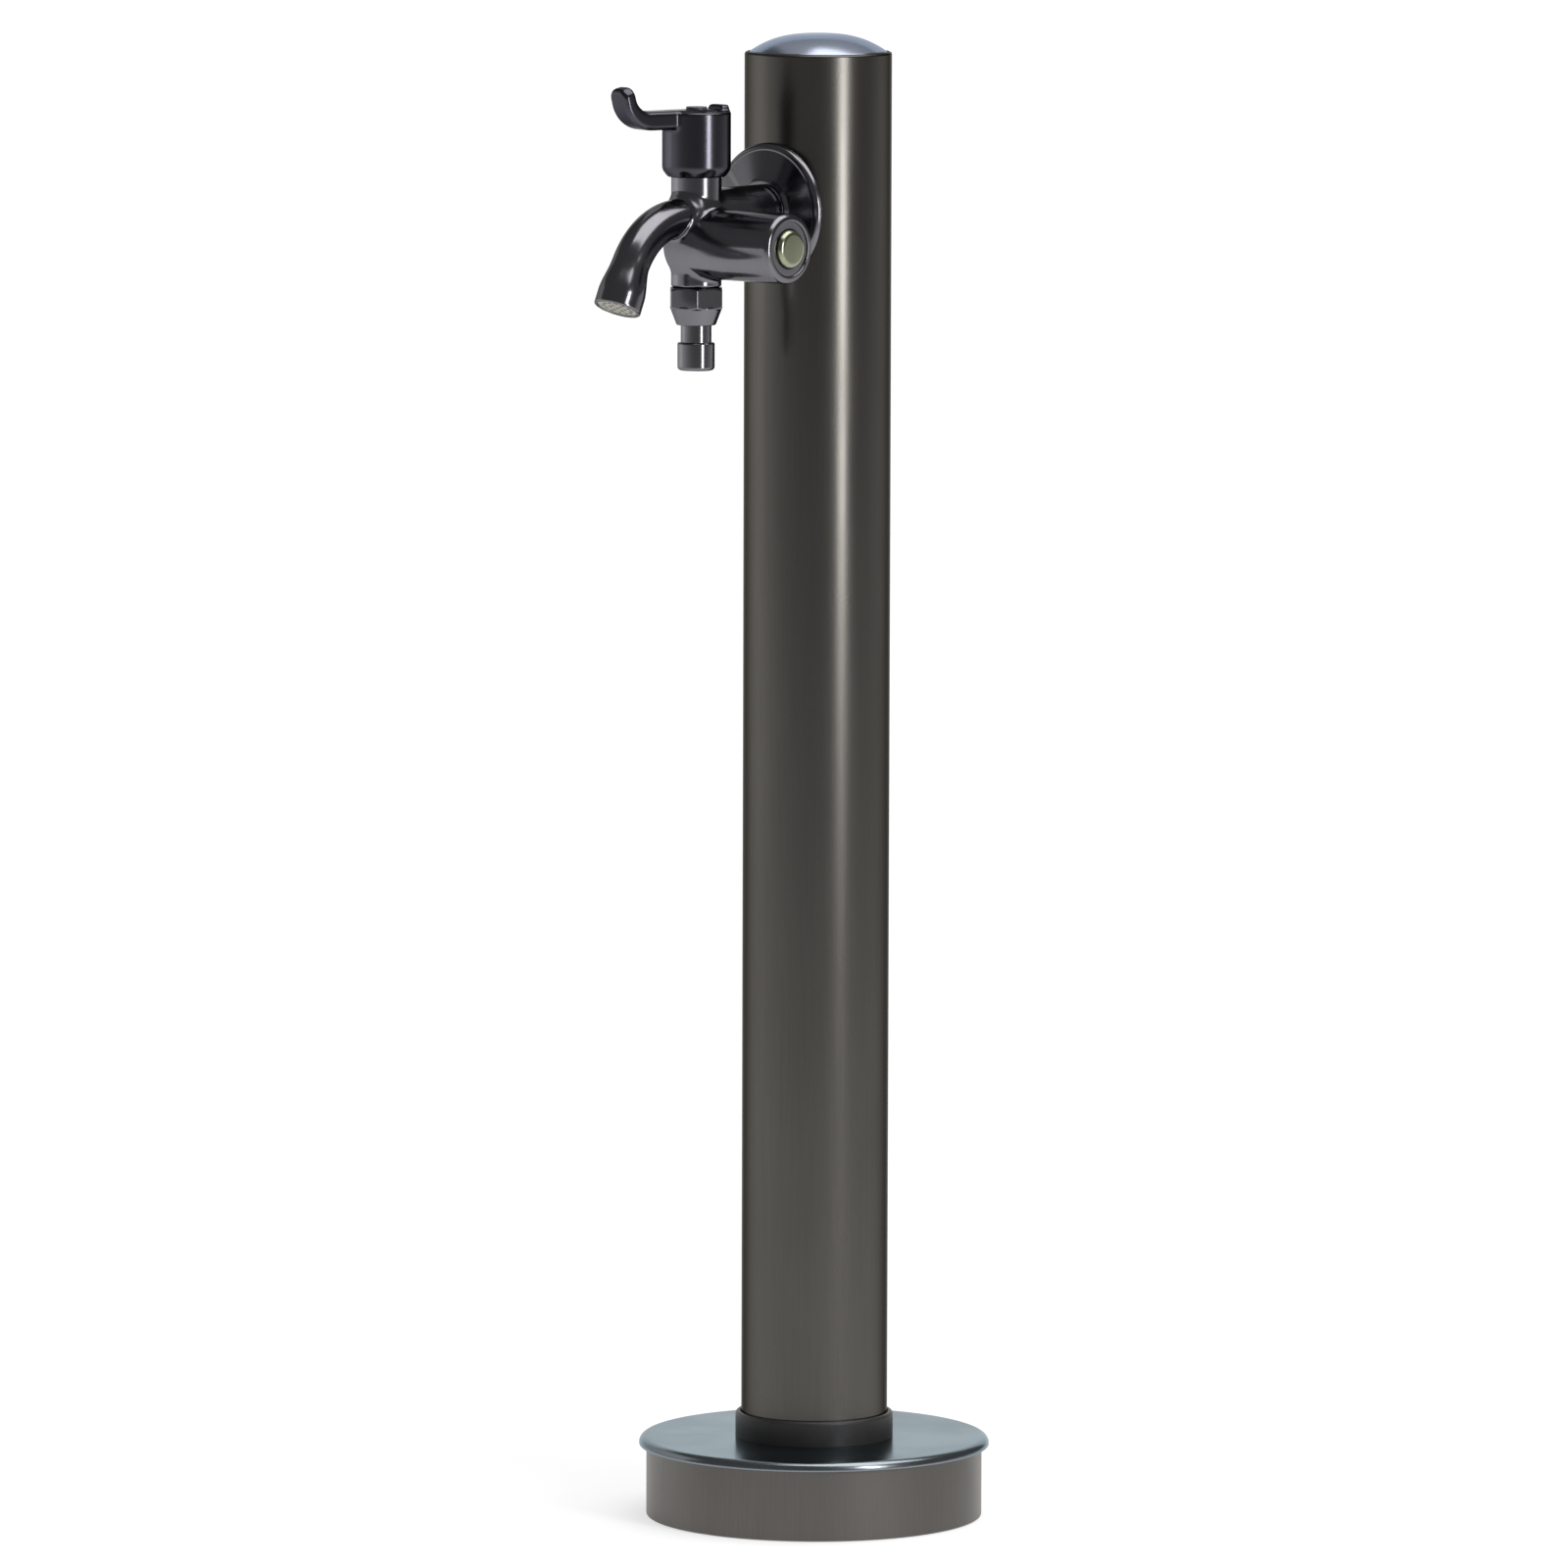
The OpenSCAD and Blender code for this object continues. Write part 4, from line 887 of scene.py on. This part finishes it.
def make_hose_outlet():
    """Union nut and the stepped hose nipple under it."""
    low = (-NUT_HALF - 4, valve_y - NUT_HALF - 4, nut_low - 2)
    high = (NUT_HALF + 4, valve_y + NUT_HALF + 4, nut_top + 2)
    dress(cast("nut_shell", nut_field, low, high, NUT_CELL), "union_nut", tap_chrome)
    collar_high = nipple_low + NIPPLE_LEN
    nipple = lathe("nipple_shell", rounded([
        (NIPPLE_BORE, nipple_low, SOFT), (NIPPLE_R, nipple_low, NIPPLE_END_ROUND),
        (NIPPLE_R, collar_high, NIPPLE_COLLAR_ROUND), (NIPPLE_NECK_R, collar_high, HAIR),
        (NIPPLE_NECK_R, nipple_top, HAIR), (NIPPLE_BORE, nipple_top, HAIR),
    ]), over_valve(), SMALL_TURNS)
    dress(nipple, "hose_nipple", tap_chrome)


make_column()
make_foot()
make_cap()
make_base_cover()
make_flange()
make_body()
make_spout()
make_handle()
make_knob()
make_hose_outlet()


# Stage, lights and camera, in metres
CAMERA_AZIMUTH = math.radians(40)
CAMERA_BACK = 5.5
CAMERA_HEIGHT = 0.95
CAMERA_AIM = 0.32
CAMERA_ROLL = math.radians(-0.18)
PHOTO_WIDTH = 1600
FOCAL_PIXELS = 13051
AXIS_SHIFT_PIXELS = 32.7
SENSOR_MM = 36
VIEW_END = 200
FLOOR_HALF = 40.0
FLOOR_GREY = 0.5
FLOOR_ROUGHNESS = 0.9
DIM_AZIMUTH = math.radians(60)
GLOW_BACK, GLOW_FRONT = -3.0, 4.8
GLOW_FULL, GLOW_DIM = 1.0, 0.1
WORLD_GLOW = 0.14
LAMP_AIM = 0.35
BACKDROP_BACK = 6.0
BACKDROP_CURVE = 2.0
BACKDROP_RISE = 4.0
BACKDROP_HALF = 4.0
BACKDROP_STEPS = 24
BACKDROP_LIFT = 0.002


def make_sheet(name, points, faces):
    """A sheet of the stage."""
    mesh = bpy.data.meshes.new(name)
    mesh.from_pydata(points, [], faces)
    mesh.shade_smooth()
    sheet = bpy.data.objects.new(name, mesh)
    bpy.context.scene.collection.objects.link(sheet)
    mesh.materials.append(glowing_stage)


def make_stage_material():
    """Pale matt floor that also glows for camera, reflection and transmission rays: painted light, full
    behind the object and fading to dim on the camera's side. It shows white behind the object and a
    softer tone on the camera's side.
    """
    material = bpy.data.materials.new("pale glowing stage")
    material.use_nodes = True
    nodes, links = material.node_tree.nodes, material.node_tree.links
    shader = nodes["Principled BSDF"]
    shader.inputs["Base Color"].default_value = (*grey(FLOOR_GREY), 1)
    shader.inputs["Roughness"].default_value = FLOOR_ROUGHNESS
    shader.inputs["Specular IOR Level"].default_value = 0.0
    shader.inputs["Emission Color"].default_value = (*WHITE, 1)
    path = nodes.new("ShaderNodeLightPath")
    seen = path.outputs["Is Camera Ray"]
    for name in ("Is Glossy Ray", "Is Transmission Ray"):
        either = nodes.new("ShaderNodeMath")
        either.operation = "MAXIMUM"
        links.new(seen, either.inputs[0])
        links.new(path.outputs[name], either.inputs[1])
        seen = either.outputs["Value"]
    # Painted light: the glow fades along the ground from full behind the object to dim on the camera's
    # side.
    forward = nodes.new("ShaderNodeVectorMath")
    forward.operation = "DOT_PRODUCT"
    forward.inputs[1].default_value = (math.sin(DIM_AZIMUTH), -math.cos(DIM_AZIMUTH), 0)
    links.new(nodes.new("ShaderNodeTexCoord").outputs["Object"], forward.inputs[0])
    fade = nodes.new("ShaderNodeMapRange")
    set_range(fade, GLOW_BACK, GLOW_FRONT, GLOW_FULL, GLOW_DIM)
    links.new(forward.outputs["Value"], fade.inputs["Value"])
    glow = nodes.new("ShaderNodeMath")
    glow.operation = "MULTIPLY"
    links.new(seen, glow.inputs[0])
    links.new(fade.outputs["Result"], glow.inputs[1])
    links.new(glow.outputs["Value"], shader.inputs["Emission Strength"])
    return material


def make_stage():
    """Wide floor and a tall backdrop far behind the object."""
    half = FLOOR_HALF
    corners = [(-half, -half, 0), (half, -half, 0), (half, half, 0), (-half, half, 0)]
    make_sheet("floor", corners, [(0, 1, 2, 3)])
    away = Vector((-math.sin(CAMERA_AZIMUTH), math.cos(CAMERA_AZIMUTH), 0))
    across = Vector((math.cos(CAMERA_AZIMUTH), math.sin(CAMERA_AZIMUTH), 0))
    points, faces = [], []
    for i in range(BACKDROP_STEPS + 1):
        a = math.pi / 2 * i / BACKDROP_STEPS
        out = BACKDROP_BACK + BACKDROP_CURVE * math.sin(a)
        lift = BACKDROP_RISE if i == BACKDROP_STEPS else BACKDROP_LIFT
        rise = BACKDROP_CURVE * (1 - math.cos(a)) + lift
        points += [away * out - across * BACKDROP_HALF + Vector((0, 0, rise)),
                   away * out + across * BACKDROP_HALF + Vector((0, 0, rise))]
        if i:
            faces.append((2 * i - 2, 2 * i - 1, 2 * i + 1, 2 * i))
    make_sheet("backdrop", points, faces)


def make_lamp(name, azimuth, elevation, distance, width, height, watts):
    """Soft rectangular lamp, placed by its bearing. Azimuth 0 is in front of the spout."""
    a, e = math.radians(azimuth), math.radians(elevation)
    data = bpy.data.lights.new(name, "AREA")
    data.shape = "RECTANGLE"
    data.size, data.size_y = width, height
    data.energy = watts
    lamp = bpy.data.objects.new(name, data)
    back = Vector((math.sin(a) * math.cos(e), -math.cos(a) * math.cos(e), math.sin(e)))
    lamp.location = Vector((0, 0, LAMP_AIM)) + back * distance
    lamp.rotation_mode = "QUATERNION"
    lamp.rotation_quaternion = (-back).to_track_quat("-Z", "Y")
    bpy.context.scene.collection.objects.link(lamp)


def make_world():
    """Even weak light from all round."""
    world = bpy.data.worlds.new("studio")
    world.use_nodes = True
    background = world.node_tree.nodes["Background"]
    background.inputs["Color"].default_value = (*WHITE, 1)
    background.inputs["Strength"].default_value = WORLD_GLOW
    bpy.context.scene.world = world


def make_camera():
    """Camera fitted to the photo, with its focal length in the photo's pixels."""
    data = bpy.data.cameras.new("camera")
    data.sensor_width = SENSOR_MM
    data.lens = FOCAL_PIXELS / PHOTO_WIDTH * data.sensor_width
    data.shift_x = -AXIS_SHIFT_PIXELS / PHOTO_WIDTH
    data.clip_end = VIEW_END
    camera = bpy.data.objects.new("camera", data)
    bearing = Vector((math.sin(CAMERA_AZIMUTH), -math.cos(CAMERA_AZIMUTH), 0))
    camera.location = bearing * CAMERA_BACK + Vector((0, 0, CAMERA_HEIGHT))
    look = Vector((0, 0, CAMERA_AIM)) - camera.location
    camera.rotation_mode = "QUATERNION"
    upright = look.to_track_quat("-Z", "Y")
    camera.rotation_quaternion = upright @ Matrix.Rotation(-CAMERA_ROLL, 3, "Z").to_quaternion()
    bpy.context.scene.collection.objects.link(camera)
    bpy.context.scene.camera = camera


glowing_stage = make_stage_material()
make_stage()
make_world()
make_lamp("strip", azimuth=79, elevation=11.8, distance=1.3, width=0.24, height=0.73, watts=6.3)
make_lamp("window", azimuth=112, elevation=73, distance=2.2, width=2.2, height=2.2, watts=43)
make_lamp("left fill", azimuth=-81, elevation=13, distance=2.6, width=3.0, height=1.6, watts=7.5)
make_lamp("back light", azimuth=215, elevation=60, distance=2.6, width=1.8, height=1.8, watts=5)
make_camera()
bpy.context.scene.view_settings.view_transform = "Standard"
